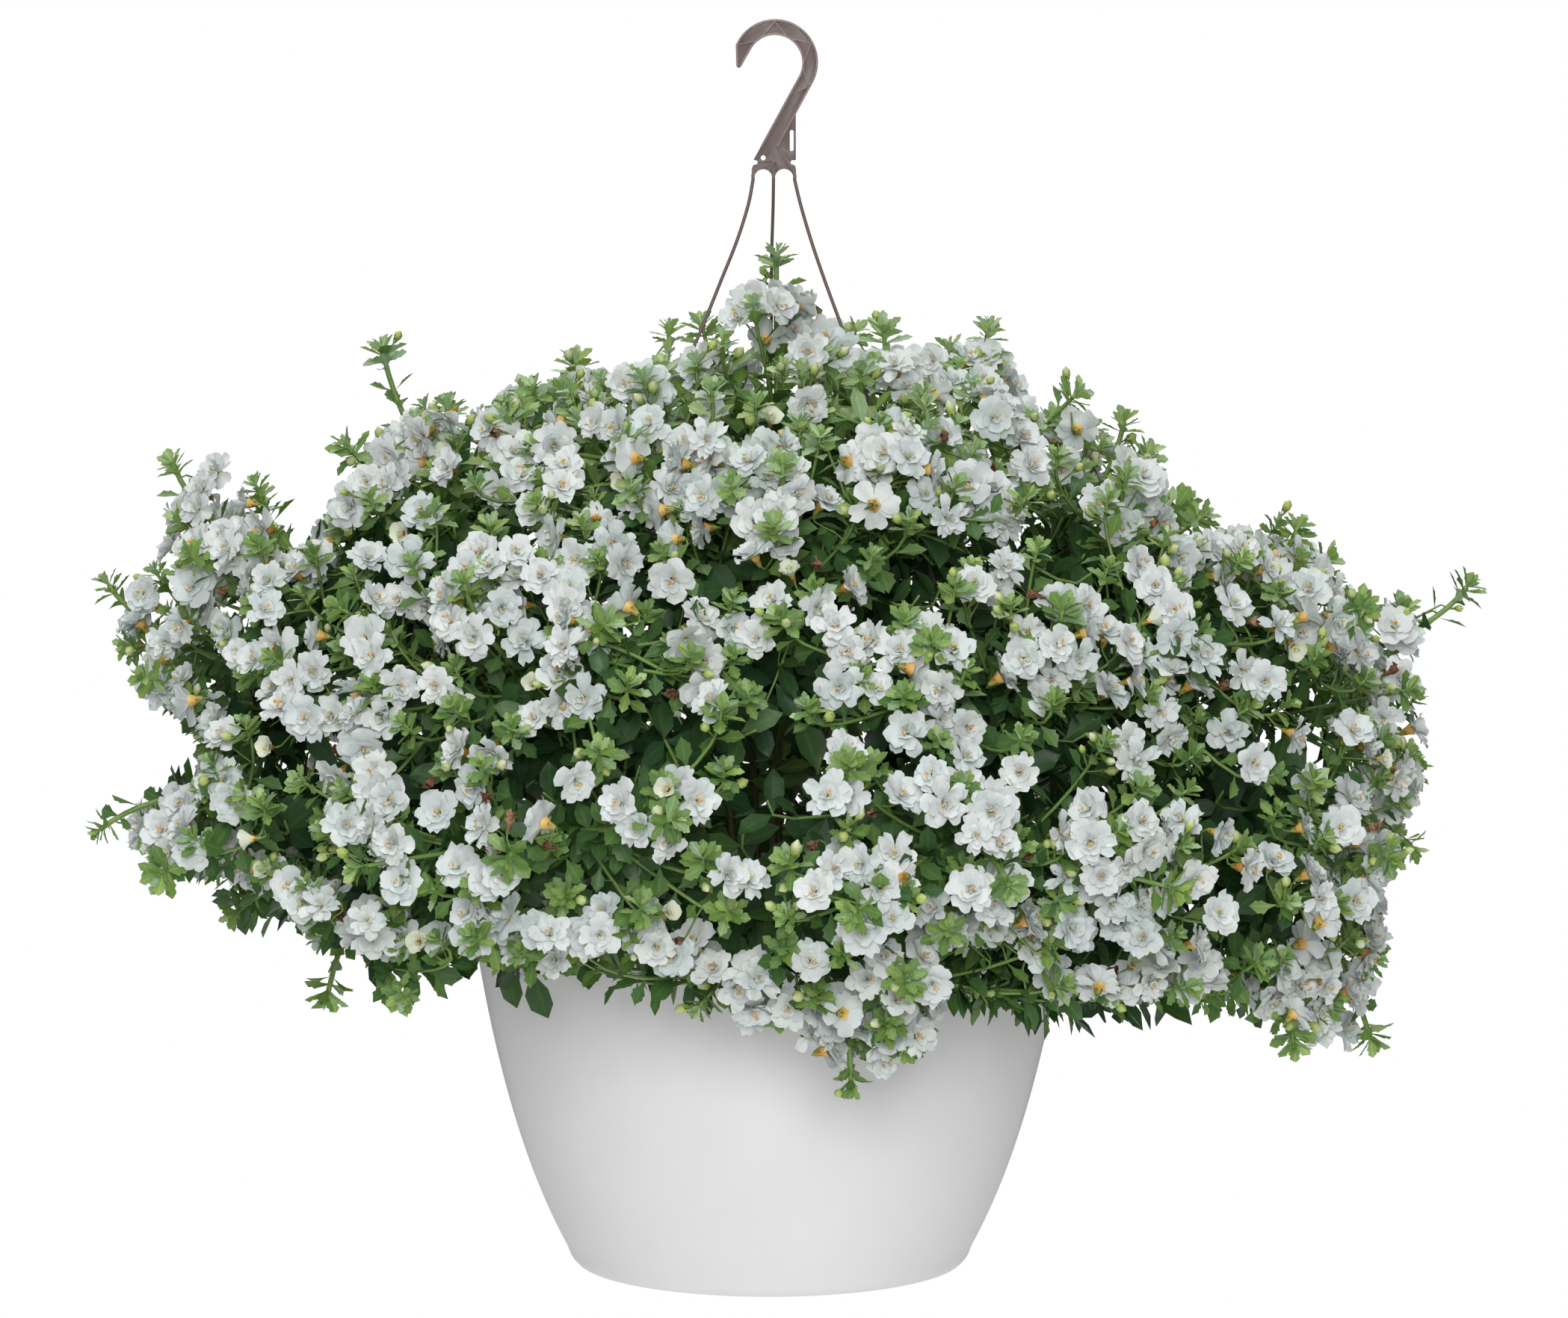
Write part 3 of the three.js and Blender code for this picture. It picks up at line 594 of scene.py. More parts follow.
def petal_material():
    """Soft white, creamier by the second tint and a little yellow at the very base."""
    m = Nodes("bacopa_petal")
    out, cream, own = m.tint()[:3]
    white = m.mix(own, (0.75, 0.81, 0.80), (0.84, 0.87, 0.855))
    white = m.mix(cream, white, (0.86, 0.88, 0.55))
    white = m.mix(m.ramp(out, [(0.0, 0.55), (0.1, 0.12), (0.22, 0.0)]), white, (0.90, 0.80, 0.42))
    veins = m.ramp(m.noise(700, 3), [(0.4, 0.0), (0.8, 0.2)])
    white = m.mix(veins, white, m.times(white, (0.82, 0.86, 0.87)))
    return m.end(white, 0.6, m.grain(600, 3, 0.3, 0.0008), specular=0.3, through=white)


def throat_material():
    """Yellow-orange funnel below the petals."""
    m = Nodes("bacopa_throat")
    out, _, own = m.tint()[:3]
    colour = m.ramp(out, [(0.0, (0.42, 0.42, 0.08)), (0.5, (0.72, 0.43, 0.07)), (1.0, (0.82, 0.62, 0.25))])
    colour = m.mix(own, colour, m.times(colour, (0.8, 0.6, 0.5)))
    return m.end(colour, 0.55, m.grain(1500, 2, 0.2, 0.0004))


def stamen_material():
    m = Nodes("bacopa_stamen")
    colour = m.mix(m.tint()[2], (0.88, 0.66, 0.26), (0.80, 0.46, 0.12))
    return m.end(colour, 0.6, m.grain(2500, 2, 0.3, 0.0003))


def bud_material():
    """Lime green, paling to cream where a bud is about to open."""
    m = Nodes("bacopa_bud")
    out, cream, own = m.tint()[:3]
    colour = m.mix(own, (0.36, 0.52, 0.10), (0.50, 0.60, 0.16))
    tip = m.mix(cream, (0.50, 0.62, 0.16), (0.82, 0.84, 0.60))
    colour = m.mix(m.ramp(out, [(0.35, 0.0), (0.9, 1.0)]), colour, tip)
    return m.end(colour, 0.5, m.grain(1200, 2, 0.2, 0.0004), through=colour, share=0.15)


def withered_material():
    m = Nodes("bacopa_withered")
    colour = m.mix(m.tint()[2], (0.20, 0.07, 0.035), (0.40, 0.24, 0.14))
    blotches = m.ramp(m.noise(900, 4), [(0.35, 0.0), (0.7, 0.8)])
    colour = m.mix(blotches, colour, m.times(colour, (0.5, 0.42, 0.4)))
    return m.end(colour, 0.8, m.grain(1200, 3, 0.6, 0.0008))


def pot_material():
    """Satin white moulded plastic, with the faintest grain and cloudiness."""
    m = Nodes("pot_white_plastic")
    cloud = m.ramp(m.noise(14, 3), [(0.3, 0.80), (0.75, (0.84, 0.84, 0.838))])
    gloss = m.ramp(m.noise(40, 4), [(0.3, 0.34), (0.8, 0.42)])
    return m.end(cloud, gloss, m.grain(2200, 2, 0.06, 0.0003, roughness=0.5), specular=0.45)


def hanger_material(name, painted_relief_light):
    """Taupe-brown moulded plastic with flow marks; on a hook, painted highlight on the raised flanges and
    ribs and painted shade on the web between them.
    """
    m = Nodes(name)
    brown = m.ramp(m.noise(55, 5, 0.65), [
        (0.25, (0.138, 0.096, 0.084)), (0.5, (0.155, 0.109, 0.096)), (0.8, (0.182, 0.131, 0.117)),
    ])
    if painted_relief_light:
        # Painted light and shade: by depth from the web, the web is darkened and the raised flanges and ribs
        # are lightened.
        depth = m.add("SeparateXYZ", {"Vector": m.place()}).outputs["Y"]
        depth = m.add("Math", {0: depth}, operation="ABSOLUTE").outputs["Value"]
        ends = {"From Min": WEB_DEPTH / 2 * MM, "From Max": FLANGE["depth"] / 2 * MM}
        height = m.add("MapRange", {"Value": depth, **ends}).outputs["Result"]
        brown = m.mix(height, m.times(brown, (0.86, 0.86, 0.86)), m.times(brown, (1.62, 1.6, 1.6)))
    gloss = m.ramp(m.noise(180, 3), [(0.3, 0.36), (0.8, 0.52)])
    return m.end(brown, gloss, m.grain(1600, 3, 0.06, 0.0003))


def soil_material():
    """Dark peat with brown fibres and pale grit."""
    m = Nodes("potting_mix")
    peat = m.ramp(m.noise(140, 6, 0.7), [
        (0.3, (0.012, 0.008, 0.005)), (0.55, (0.045, 0.027, 0.016)), (0.75, (0.10, 0.065, 0.04)),
    ])
    peat = m.mix(m.ramp(m.noise(420, 2), [(0.68, 0.0), (0.74, 1.0)]), peat, (0.42, 0.38, 0.32))
    return m.end(peat, 0.92, m.grain(500, 5, 0.9, 0.002, roughness=0.7))


def floor_material():
    return Nodes("studio_floor").end((0.93, 0.93, 0.93, 1), 0.9)


# Pot and potting mix

def pot_side(count):
    """The outer side from foot to rim, as (radius, height)."""
    points = quadratic(np.array(SIDE_START), np.array(SIDE_PULL), np.array([RIM_RADIUS, POT_HEIGHT]), count)
    return [tuple(p) for p in points]


SIDE = np.array([FOOT_TURN, *pot_side(60)])


def pot_radius(z):
    """Outer radius of the pot at a height or heights."""
    return np.interp(z, SIDE[:, 1], SIDE[:, 0])


def round_corner(before, corner, after, radius, steps=4):
    """A corner of a profile eased into a short curve."""
    before, corner, after = (np.array(p, float) for p in (before, corner, after))
    start = corner + unit(before - corner) * radius
    end = corner + unit(after - corner) * radius
    return [tuple(p) for p in quadratic(start, corner, end, steps + 1)]


def pot_profile():
    """The bowl's closed outline: out along the foot, up the side, over the lip and down the inside."""
    lip_low = POT_HEIGHT - LIP_HEIGHT
    lip_out = RIM_RADIUS + LIP_WIDTH
    inner = [(r - WALL, z) for r, z in pot_side(16) if FLOOR + 4 < z < POT_HEIGHT - 3][::-1]
    outer = [(r, z) for r, z in pot_side(30) if z < lip_low - 0.6]
    ring = [
        outer[-1], (pot_radius(lip_low), lip_low), (lip_out, lip_low + LIP_UNDERCUT),
        (lip_out, POT_HEIGHT), (RIM_RADIUS - WALL, POT_HEIGHT), inner[0],
    ]
    lip = []
    for i, radius in enumerate(LIP_ROUNDS):
        lip += round_corner(*ring[i:i + 3], radius)
    slope = CHANNEL["depth"]
    foot = round_corner((CHANNEL["outer"], 0), (FOOT_RADIUS, 0), FOOT_TURN, FOOT_ROUNDS[0])
    turn = round_corner((FOOT_RADIUS, 0), FOOT_TURN, SIDE_START, FOOT_ROUNDS[1])
    return [
        (AXIS, 0), (CHANNEL["inner"], 0), (CHANNEL["inner"] + slope, slope),
        (CHANNEL["outer"] - slope, slope), (CHANNEL["outer"], 0), *foot, *turn, *outer, *lip, *inner,
        (FOOT_RADIUS + 0.5, FLOOR + 2), (FOOT_RADIUS - 2, FLOOR), (AXIS, FLOOR),
    ]


def box_shape(size, middle, turn_degrees):
    """A box about middle, turned about Z."""
    corner = np.array([(x, y, z) for x in (-0.5, 0.5) for y in (-0.5, 0.5) for z in (-0.5, 0.5)])
    faces = [(0, 1, 3), (0, 3, 2), (4, 6, 7), (4, 7, 5), (0, 4, 5), (0, 5, 1),
             (2, 3, 7), (2, 7, 6), (0, 2, 6), (0, 6, 4), (1, 5, 7), (1, 7, 3)]
    return Shape(corner * np.array(size) + np.array(middle), faces).turned(turn_degrees)


def cylinder_shape(middle, radius, low, high, sides=24, top_radius=None):
    """A closed cylinder, or a cone where its top has a radius of its own."""
    top_radius = radius if top_radius is None else top_radius
    shape = lathe([(0.0, low), (radius, low), (top_radius, high), (0.0, high)], sides)
    merged, index = np.unique(np.round(shape.points, 5), axis=0, return_inverse=True)
    faces = index.reshape(-1)[shape.faces]
    kept = (faces[:, 0] != faces[:, 1]) & (faces[:, 1] != faces[:, 2]) & (faces[:, 0] != faces[:, 2])
    return Shape(merged + np.array([middle[0], middle[1], 0]), faces[kept])


def on_ring(radius, degrees, z=0.0):
    """A point at an angle round the Z axis."""
    turn = math.radians(degrees)
    return np.array([radius * math.cos(turn), radius * math.sin(turn), z])


def make_pot(material):
    """The bowl with its three lugs, their holes and the drain holes."""
    piece = make_object("pot_bowl", lathe(pot_profile(), POT_SEGMENTS, closed=True), [material])
    lugs = [box_shape(LUG_SIZE, (LUG_RING, 0, LUG_TOP - LUG_SIZE[2] / 2), a) for a in LUG_ANGLES.values()]
    combine(piece, [make_object("lugs", together(lugs), [])], "UNION")
    holes = [cylinder_shape(on_ring(LUG_RING, a), LUG_HOLE, LUG_TOP - LUG_SIZE[2] - 1, LUG_TOP + 1)
             for a in LUG_ANGLES.values()]
    for i in range(DRAINS["count"]):
        middle = on_ring(DRAINS["ring"], 360 * i / DRAINS["count"])
        holes.append(cylinder_shape(middle, DRAINS["radius"], -1, FLOOR + 1, sides=32))
    combine(piece, [make_object("holes", together(holes), [])], "DIFFERENCE")
    smooth_by_angle(piece, SHARP_EDGES["pot"])
    finished(piece, "pot_plastic", "pot")


def soil_height(radius):
    """Height of the potting mix at a distance from the middle."""
    edge = pot_radius(SOIL_EDGE) - WALL
    return np.interp(radius, (0, SOIL_SHOULDER[0], edge), (SOIL_MIDDLE, SOIL_SHOULDER[1], SOIL_EDGE))


def make_soil(material):
    """A crumbly top on a plug that fills the bowl, with loose crumbs and grit."""
    edge = pot_radius(SOIL_EDGE) - WALL - SOIL_ROOM["edge"]
    top = [(r, soil_height(r)) for r in np.linspace(0.5, edge, SOIL_RINGS)[::-1]]
    wall = [(pot_radius(z) - WALL - SOIL_ROOM["wall"], z) for z in np.linspace(FLOOR + 6, SOIL_EDGE - 3, 10)]
    shape = lathe([(0.5, FLOOR + GAP), (FOOT_RADIUS - 3, FLOOR + GAP), *wall, *top], SOIL_SEGMENTS)
    x, y, z = shape.points.T
    crumble = random.normal(0, 1, len(x)) * CRUMBLE
    lumps = np.sin(x * 0.21 + 1) * np.sin(y * 0.19) + np.sin(x * 0.47) * np.sin(y * 0.52 + 2)
    on_top = (z > SOIL_EDGE - 0.5) & (np.hypot(x, y) < edge - 0.5)
    shape.points[:, 2] += np.where(on_top, crumble + lumps * LUMPS, 0)
    crumb = Shape([(1, 0, 0), (-1, 0, 0), (0, 1, 0), (0, -1, 0), (0, 0, 1), (0, 0, -1)],
                  [(0, 2, 4), (2, 1, 4), (1, 3, 4), (3, 0, 4), (2, 0, 5), (1, 2, 5), (3, 1, 5), (0, 3, 5)])
    count = CRUMBS["count"]
    ring = edge * np.sqrt(random.uniform(0, 0.96, count))
    turn = random.uniform(0, 2 * math.pi, count)
    places = np.stack([ring * np.cos(turn), ring * np.sin(turn), soil_height(ring) + CRUMBS["lift"]], 1)
    turns = frames(random.normal(0, 1, (count, 3)), random.normal(0, 1, (count, 3)))
    crumbs = stamped(crumb, places, turns, random.uniform(*CRUMBS["size"], count))
    finished(make_object("potting_mix", together([shape, crumbs]), [material]), "potting_mix", "soil")


def arc(circle, start, end, steps):
    """Points on a circle (x, z, radius) from one angle to another, in radians."""
    angles = np.linspace(start, end, steps)
    return [(circle[0] + circle[2] * math.cos(a), circle[1] + circle[2] * math.sin(a)) for a in angles]


def disc(circle):
    """A whole circle (x, z, radius) of 20 points."""
    return arc(circle, 0, 1.9 * math.pi, 20)


def over_top(circle, start, end):
    """Points over the top of the hook on a circle, from the place nearest start to that nearest end."""
    turns = [math.atan2(p[1] - circle[1], p[0] - circle[0]) for p in (start, end)]
    return arc(circle, *turns, 49)


def shoulder(notch_x, leg_x):
    """The curve from the low end of a notch to the side of the leg below it."""
    top = NOTCHES["z"] - NOTCHES["radius"]
    return [tuple(p) for p in quadratic(*np.array([(notch_x, top), (leg_x, top), (leg_x, SHOULDER)]), 8)]


OUTER_EDGE = [TIP_END[0], *over_top(HOOK_OUT, TIP_OUT, SHANK_OUT), (PLATE["right"], PLATE["top"])]
INNER_EDGE = [TIP_END[2], *over_top(HOOK_IN, TIP_IN, SHANK_IN)]


def hook_outline():
    """Clockwise from the tip: over the top, down the plate, along the arches and back up."""
    left, right = ((NOTCHES[side], NOTCHES["z"], NOTCHES["radius"]) for side in ("left", "right"))
    low = LEGS["bottom"]
    quarter = math.pi / 2
    arches = []
    for a, b in ((LEGS["right"][0], LEGS["middle"][1]), (LEGS["middle"][0], LEGS["left"][1])):
        arch = ((a + b) / 2, low + LEGS["rise"], (a - b) / 2)
        arches += [(a, low), *arc(arch, 0, math.pi, 17), (b, low)]
    return [
        *OUTER_EDGE, (PLATE["right"], PLATE["bottom"]), *arc(right, quarter, 3 * quarter, 9),
        *shoulder(right[0], LEGS["right"][1])[1:], (LEGS["right"][1], low), *arches,
        (LEGS["left"][0], low), *shoulder(left[0], LEGS["left"][0])[:0:-1],
        *arc(left, -quarter, quarter, 9), (PLATE["left"], PLATE["bottom"]),
        *INNER_EDGE[::-1], TIP_END[1],
    ]


def strip(points, width):
    """A strip along (x, z) points: on its right-hand side, or its left where the width is negative."""
    points = np.array(points, float)
    way = unit(np.gradient(points, axis=0))
    other = points + np.stack([way[:, 1], -way[:, 0]], 1) * width
    return [*points, *other[::-1]]


def prism(outline, depth):
    """A closed solid with an outline in the X-Z plane and a depth about the plane Y = 0."""
    outline = [tuple(map(float, p)) for p in outline]
    area = sum(a[0] * b[1] - b[0] * a[1] for a, b in zip(outline, outline[1:] + outline[:1]))
    if area < 0:
        outline = outline[::-1]
    count = len(outline)
    points = [(x * MM, y * MM, z * MM) for y in (-depth / 2, depth / 2) for x, z in outline]
    faces = [tuple(range(count)), tuple(range(2 * count - 1, count - 1, -1))]
    faces += [(i, i + count, (i + 1) % count + count, (i + 1) % count) for i in range(count)]
    mesh = bpy.data.meshes.new("prism")
    mesh.from_pydata(points, [], faces)
    return linked("prism", mesh)


def hook_solid():
    """The flat web with its flanges, ribs and stud, its slot and eye cut through, its edges rounded."""
    hook = prism(hook_outline(), WEB_DEPTH)
    flanges = [strip([*OUTER_EDGE, FLANGE_FEET["out"]], FLANGE["width"]),
               strip([*INNER_EDGE, FLANGE_FEET["in"]], -FLANGE["width"])]
    raised = [prism(outline, FLANGE["depth"]) for outline in flanges]
    raised += [prism(strip(ends, RIB["width"]), RIB["depth"]) for ends in zip(RIBS, RIBS[1:])]
    raised.append(prism(disc(STUD["circle"]), WEB_DEPTH + STUD["height"] * 2))
    combine(hook, raised, "UNION")
    end = SLOT["width"] / 2
    slot = arc((SLOT["x"], SLOT["high"] - end, end), 0, math.pi, 9)
    slot += arc((SLOT["x"], SLOT["low"] + end, end), math.pi, 2 * math.pi, 9)
    combine(hook, [prism(outline, FLANGE["depth"]) for outline in (slot, disc(EYE))], "DIFFERENCE")
    bevel = hook.modifiers.new("bevel", "BEVEL")
    bevel.width = EDGE_ROUND * MM
    bevel.segments = 2
    bevel.limit_method = "ANGLE"
    bevel.angle_limit = math.radians(35)
    bake_modifiers(hook)
    return hook


def leg_shapes(name, route):
    """A leg down through its lug, with a collar above it and a barb below."""
    foot = on_ring(LUG_RING, LUG_ANGLES[name], LUG_TOP)
    low = LUG_TOP - LUG_SIZE[2]
    ends = [foot + UP * LEG_FOOT["above"], foot - UP * (LUG_SIZE[2] + LEG_FOOT["below"])]
    points = catmull_rom([*route, *ends], LEG_STEPS)
    points = np.vstack([points[0] + UP * LEG_IN_HOOK, points])
    barb = low - GAP - BARB["height"]
    return [
        tube(points, np.full(len(points), LEG_RADIUS), LEG_SIDES),
        cylinder_shape(foot, COLLAR["radius"], LUG_TOP + GAP, LUG_TOP + GAP + COLLAR["height"]),
        cylinder_shape(foot, BARB["bottom"], barb, low - GAP, top_radius=BARB["top"]),
    ]


def make_hanger(material, hook_material):
    """Hook and legs as the one moulding that they are."""
    hook = hook_solid()
    legs = [shape for name, route in LEG_ROUTES.items() for shape in leg_shapes(name, route)]
    piece = make_object("hanger", together(legs), [material])
    hook.data.materials.clear()
    hook.data.materials.append(hook_material)
    with bpy.context.temp_override(active_object=piece, selected_editable_objects=[piece, hook]):
        bpy.ops.object.join()
    smooth_by_angle(piece, SHARP_EDGES["hanger"])
    finished(piece, "hanger_plastic", "hanger_hook", *[f"hanger_leg_{name}" for name in LEG_ROUTES])


# Templates of the plant's repeated shapes

# The materials of a foliage piece and of a flower piece, and their numbers on the faces
LEAFY_SKINS = ("leaf", "stem")
FLORAL_SKINS = ("petal", "throat", "stem", "stamen", "bud", "withered")
LEAF_SKIN, STEM_SKIN = range(2)
PETAL_SKIN, THROAT_SKIN, GREEN_SKIN, STAMEN_SKIN, BUD_SKIN, WITHERED_SKIN = range(6)

# Places along a petal lobe where its rows of points are, by their number, and its width there
LOBE_ROWS = {4: (0, 0.42, 0.78, 1), 3: (0, 0.62, 1), 2: (0, 1)}
LOBE_WIDTHS = ((0, 0.42, 0.78, 1), (0.26, 0.82, 1.0, 0.78))

# Whorls of lobes: the radius and height where they start, the slope there and at their end, raised
# sides, crumpling and notch, and the grid of points; a pair stands for a random number between its two
OUTER = {"start": 1.2, "lift": -0.4, "rise": ((14, 50), (-40, 14)), "cup": (-0.1, 0.14),
         "crumple": 0.045, "notch": (0.0, 0.2), "columns": 5, "rows": 4}
MIDDLE = {"start": 1, "lift": -0.1, "rise": ((26, 60), (-25, 30)), "cup": (-0.05, 0.2),
          "crumple": 0.045, "notch": (0.0, 0.16), "columns": 4, "rows": 3}
INNER = {"start": 0.8, "lift": 0.3, "rise": ((40, 80), (-10, 50)), "cup": (0.0, 0.25),
         "crumple": 0.065, "notch": (0.0, 0.15), "columns": 4, "rows": 3}
HEART = {"start": 0.3, "lift": 0.4, "rise": ((60, 88), (10, 75)), "cup": (0.1, 0.4),
         "crumple": 0.08, "notch": 0.1, "columns": 3, "rows": 3, "cream": (0, 0.1)}
OPENING = {"start": 1.4, "lift": -0.8, "rise": ((58, 74), (20, 45)), "cup": 0.12,
           "crumple": 0.03, "notch": 0.08, "columns": 4, "rows": 4, "cream": (0.3, 0.55)}
OPENING_HEART = {"start": 0.5, "lift": 0.4, "rise": ((70, 88), 55), "cup": 0.3,
                 "crumple": 0.06, "notch": 0.1, "columns": 3, "rows": 3, "cream": 0.5}
WITHERED = {"start": 0.9, "lift": -2, "rise": ((60, 85), (60, 130)), "cup": 0.35,
            "crumple": 0.09, "notch": 0.1, "columns": 4, "rows": 4, "skin": WITHERED_SKIN}
CALYX = {"cup": 0, "crumple": 0, "notch": 0, "columns": 2, "rows": 2, "skin": GREEN_SKIN}

# A half leaf's outline as (place along, part of the full half width): each pair is a tooth and its notch
LEAF_EDGE = [(0, 0.05), (0.3, 0.36), (0.52, 1.0), (0.58, 0.8), (0.74, 0.9), (0.79, 0.64), (1, 0)]
SMALL_EDGE = [(0, 0.16), (0.38, 0.66), (0.56, 1.0), (0.64, 0.68), (0.8, 0.84), (1, 0.05)]
PLAIN_EDGE = [(0, 0.05), (0.4, 0.9), (0.72, 0.85), (1, 0)]


def leaf(edge, width, fold, bend, twist):
    """A toothed leaf of length one along +X, its upper side towards +Z."""
    points, tint = [], []
    for along, wide in edge:
        spin = twist * along
        middle = np.array([along - 0.18 * bend * bend * along ** 2, 0, math.sin(-bend * along) * along * 0.5])
        for side in (-1, 0, 1):
            reach = side * wide * width / 2
            lift = abs(reach) * fold
            across = np.array([0.02 * abs(side), reach * math.cos(spin), lift + reach * math.sin(spin)])
            points.append(middle + across)
            tint.append((0, abs(side), 0))
    return Shape(points, grid_faces(3, len(edge)), tint, LEAF_SKIN)


def leaves(edge, count, wide):
    """A few leaves that differ in width, fold, bend and twist."""
    looks = (wide, (0.15, 0.5), (-0.15, 0.75), (-0.35, 0.35))
    return [leaf(edge, *[random.uniform(*look) for look in looks]) for _ in range(count)]


def drawn(value):
    """A number as it is, or a random one between the two of a pair."""
    return random.uniform(*value) if isinstance(value, tuple) else value


def near(value, share):
    """A random number within a share of a value, or the value itself where the share is 0."""
    return value * random.uniform(1 - share, 1 + share) if share else value


def lobe(length, width, start, lift, rise, cup, crumple, notch, columns, rows, cream=0.0, skin=PETAL_SKIN):
    """One petal lobe growing out along +X, with a rounded, notched end and a crumpled face."""
    first, last = drawn(rise[0]), drawn(rise[1])
    cup, notch, cream = drawn(cup), drawn(notch), drawn(cream)
    u, v = np.meshgrid(np.linspace(-1, 1, columns), LOBE_ROWS[rows])
    slope = np.radians(first + (last - first) * v)
    steps = length * np.diff(v, axis=0)
    middle = (slope[1:] + slope[:-1]) / 2
    out, up = (np.vstack([np.zeros(columns), np.cumsum(part(middle) * steps, axis=0)])
               for part in (np.cos, np.sin))
    half = width / 2 * np.interp(v, *LOBE_WIDTHS)
    ragged = random.normal(0.03, 0.03, u.shape)
    shorten = length * v ** 3 * (0.17 * u ** 2 + notch * np.exp(-(u / 0.3) ** 2) + ragged)
    wave = np.sin(3.2 * u + random.uniform(0, 2 * math.pi)) * 1.3 + random.normal(0, 1, u.shape)
    ripple = (wave * crumple + cup * u ** 2) * length * v
    x = start + out - shorten * np.cos(slope) - ripple * np.sin(slope)
    z = lift + up - shorten * np.sin(slope) + ripple * np.cos(slope)
    tint = np.stack([v, np.full_like(v, cream), np.zeros_like(v)], -1)
    return Shape(np.stack([x, u * half, z], -1), grid_faces(columns, rows), tint.reshape(-1, 3), skin)


def whorl(count, turn, spread, length, width, look):
    """Lobes set round the Z axis with a little disorder, their length and width each (value, share)."""
    lobes = []
    for i in range(count):
        petal = lobe(near(*length), near(*width), **look)
        lobes.append(petal.turned(turn + 360 * i / count + random.uniform(-spread, spread)))
    return lobes


def funnel(low, high, low_radius, high_radius, skin):
    """The tube below the petals, flaring at its mouth and tinted from its foot up."""
    heights = (low, low + (high - low) * 0.6, high)
    radii = (low_radius, low_radius + (high_radius - low_radius) * 0.5, high_radius)
    shape = lathe(list(zip(radii, heights)), 5, skin)
    shape.tint[:, 0] = np.repeat([0, 0.5, 1], 5)
    return shape


def sepals(low, length, radius, rise):
    """Narrow green calyx lobes that hold the funnel."""
    return whorl(5, 0, 6, (length, 0.15), (1.6, 0), {"start": radius, "lift": low, "rise": rise, **CALYX})


def stamens(count, height):
    """Small yellow and rust grains at the heart of the flower."""
    grain = Shape([(1, 0, 0), (-0.5, 0.8, 0), (-0.5, -0.8, 0), (0, 0, 2.2), (0, 0, -2)],
                  [(0, 1, 3), (1, 2, 3), (2, 0, 3), (1, 0, 4), (2, 1, 4), (0, 2, 4)], skin=STAMEN_SKIN)
    places = np.stack([random.normal(0, 0.9, count), random.normal(0, 0.9, count),
                       random.uniform(height - 1.0, height + 0.8, count)], 1)
    turns = frames(random.normal(0, 1, (count, 3)), UP + random.normal(0, 0.7, (count, 3)))
    return stamped(grain, places, turns, random.uniform(0.46, 0.8, count),
                   random.uniform(0, 1, (count, 1)) * np.array([0, 0, 1]))


def double_flower(slim):
    """An open double flower 21 mm across, facing +Z, its stalk joining at -HEAD_DEPTH."""
    full = random.uniform(0, 1)
    first = random.uniform(0, 72)
    count = random.integers(5, 7)
    return together([
        *whorl(count, first, 11, (9.7, 0.12), (42 / count * slim, 0.14), OUTER),
        *whorl(5, first + 20, 12, (7.6 + full, 0.12), (7 * slim, 0.14), MIDDLE),
        *whorl(4 + int(full * 2), first + 36, 15, (5.6 + full, 0.16), (6.2 * slim, 0.16), INNER),
        *whorl(3 + int(full * 3), 0, 30, (4.4, 0.2), (4.2, 0.25), HEART),
        stamens(random.integers(2, 5), 3.7), *sepals(-7, 4.6, 0.8, (80, 62)),
        funnel(-6.6, -0.7, 1.0, 3.1, THROAT_SKIN),
    ])


def opening_flower():
    """A half-open cream flower."""
    return together([
        *whorl(5, 0, 8, (8.2, 0.08), (7.6, 0.1), OPENING),
        *whorl(4, 30, 20, (4.4, 0.2), (4.4, 0.2), OPENING_HEART),
        stamens(2, 3.2), *sepals(-7, 5.4, 0.8, (80, 66)), funnel(-6.6, -0.6, 0.9, 2.0, THROAT_SKIN),
    ])


def withered_flower():
    """A spent flower, its petals shrunk and twisted together."""
    return together([*whorl(6, 0, 20, (7, 0.25), (5, 0.3), WITHERED),
                     *sepals(-7, 5.4, 0.8, (80, 66)), funnel(-6.6, -1.5, 0.9, 1.5, WITHERED_SKIN)])


def bud(opening):
    """A round green bud in its calyx, its tip creamier the nearer it is to opening."""
    heights = np.array([-1.6, 0.6, 3.0, 5.1]) * (1 + 0.25 * opening)
    shape = lathe(list(zip((0.8, 2.5, 2.5, 0.3), heights)), 6, BUD_SKIN)
    shape.points[:, 2] -= heights[0] + 3
    shape.tint[:, 0] = np.repeat([0, 0.3, 0.75, 1], 6)
    shape.tint[:, 1] = opening
    return together([shape, *sepals(-5, 4.4, 1.0, (62, 98))])


# The mound's growth

TIPS = np.array([tip for shoot in SHOOTS for tip in shoot], float)
TIP_DIRECTIONS = unit(TIPS - MOUND_MIDDLE)
TIP_REACHES = np.linalg.norm(TIPS - MOUND_MIDDLE, axis=1)


def mound_reach(directions):
    """How far the mound's surface is from its middle, read between the shoots' tips."""
    closeness = np.exp((directions @ TIP_DIRECTIONS.T - 1) / MOUND_BLEND ** 2)
    return closeness @ TIP_REACHES / closeness.sum(axis=1)


def mound_out(points):
    """Square out of the mound at a point or points."""
    return unit((points - MOUND_MIDDLE) * np.array([1, 1, MOUND_FLATTEN]))


def seen(points):
    """X and Z of points as the camera sees them, brought to the plane Y = 0."""
    rise = math.radians(CAMERA_ELEVATION)
    x, y, z = (points - np.array(CAMERA_TARGET)).T
    scale = CAMERA_DISTANCE / (CAMERA_DISTANCE + y * math.cos(rise) - z * math.sin(rise))
    return CAMERA_TARGET[0] + x * scale, CAMERA_TARGET[2] + (z + y * math.tan(rise)) * scale


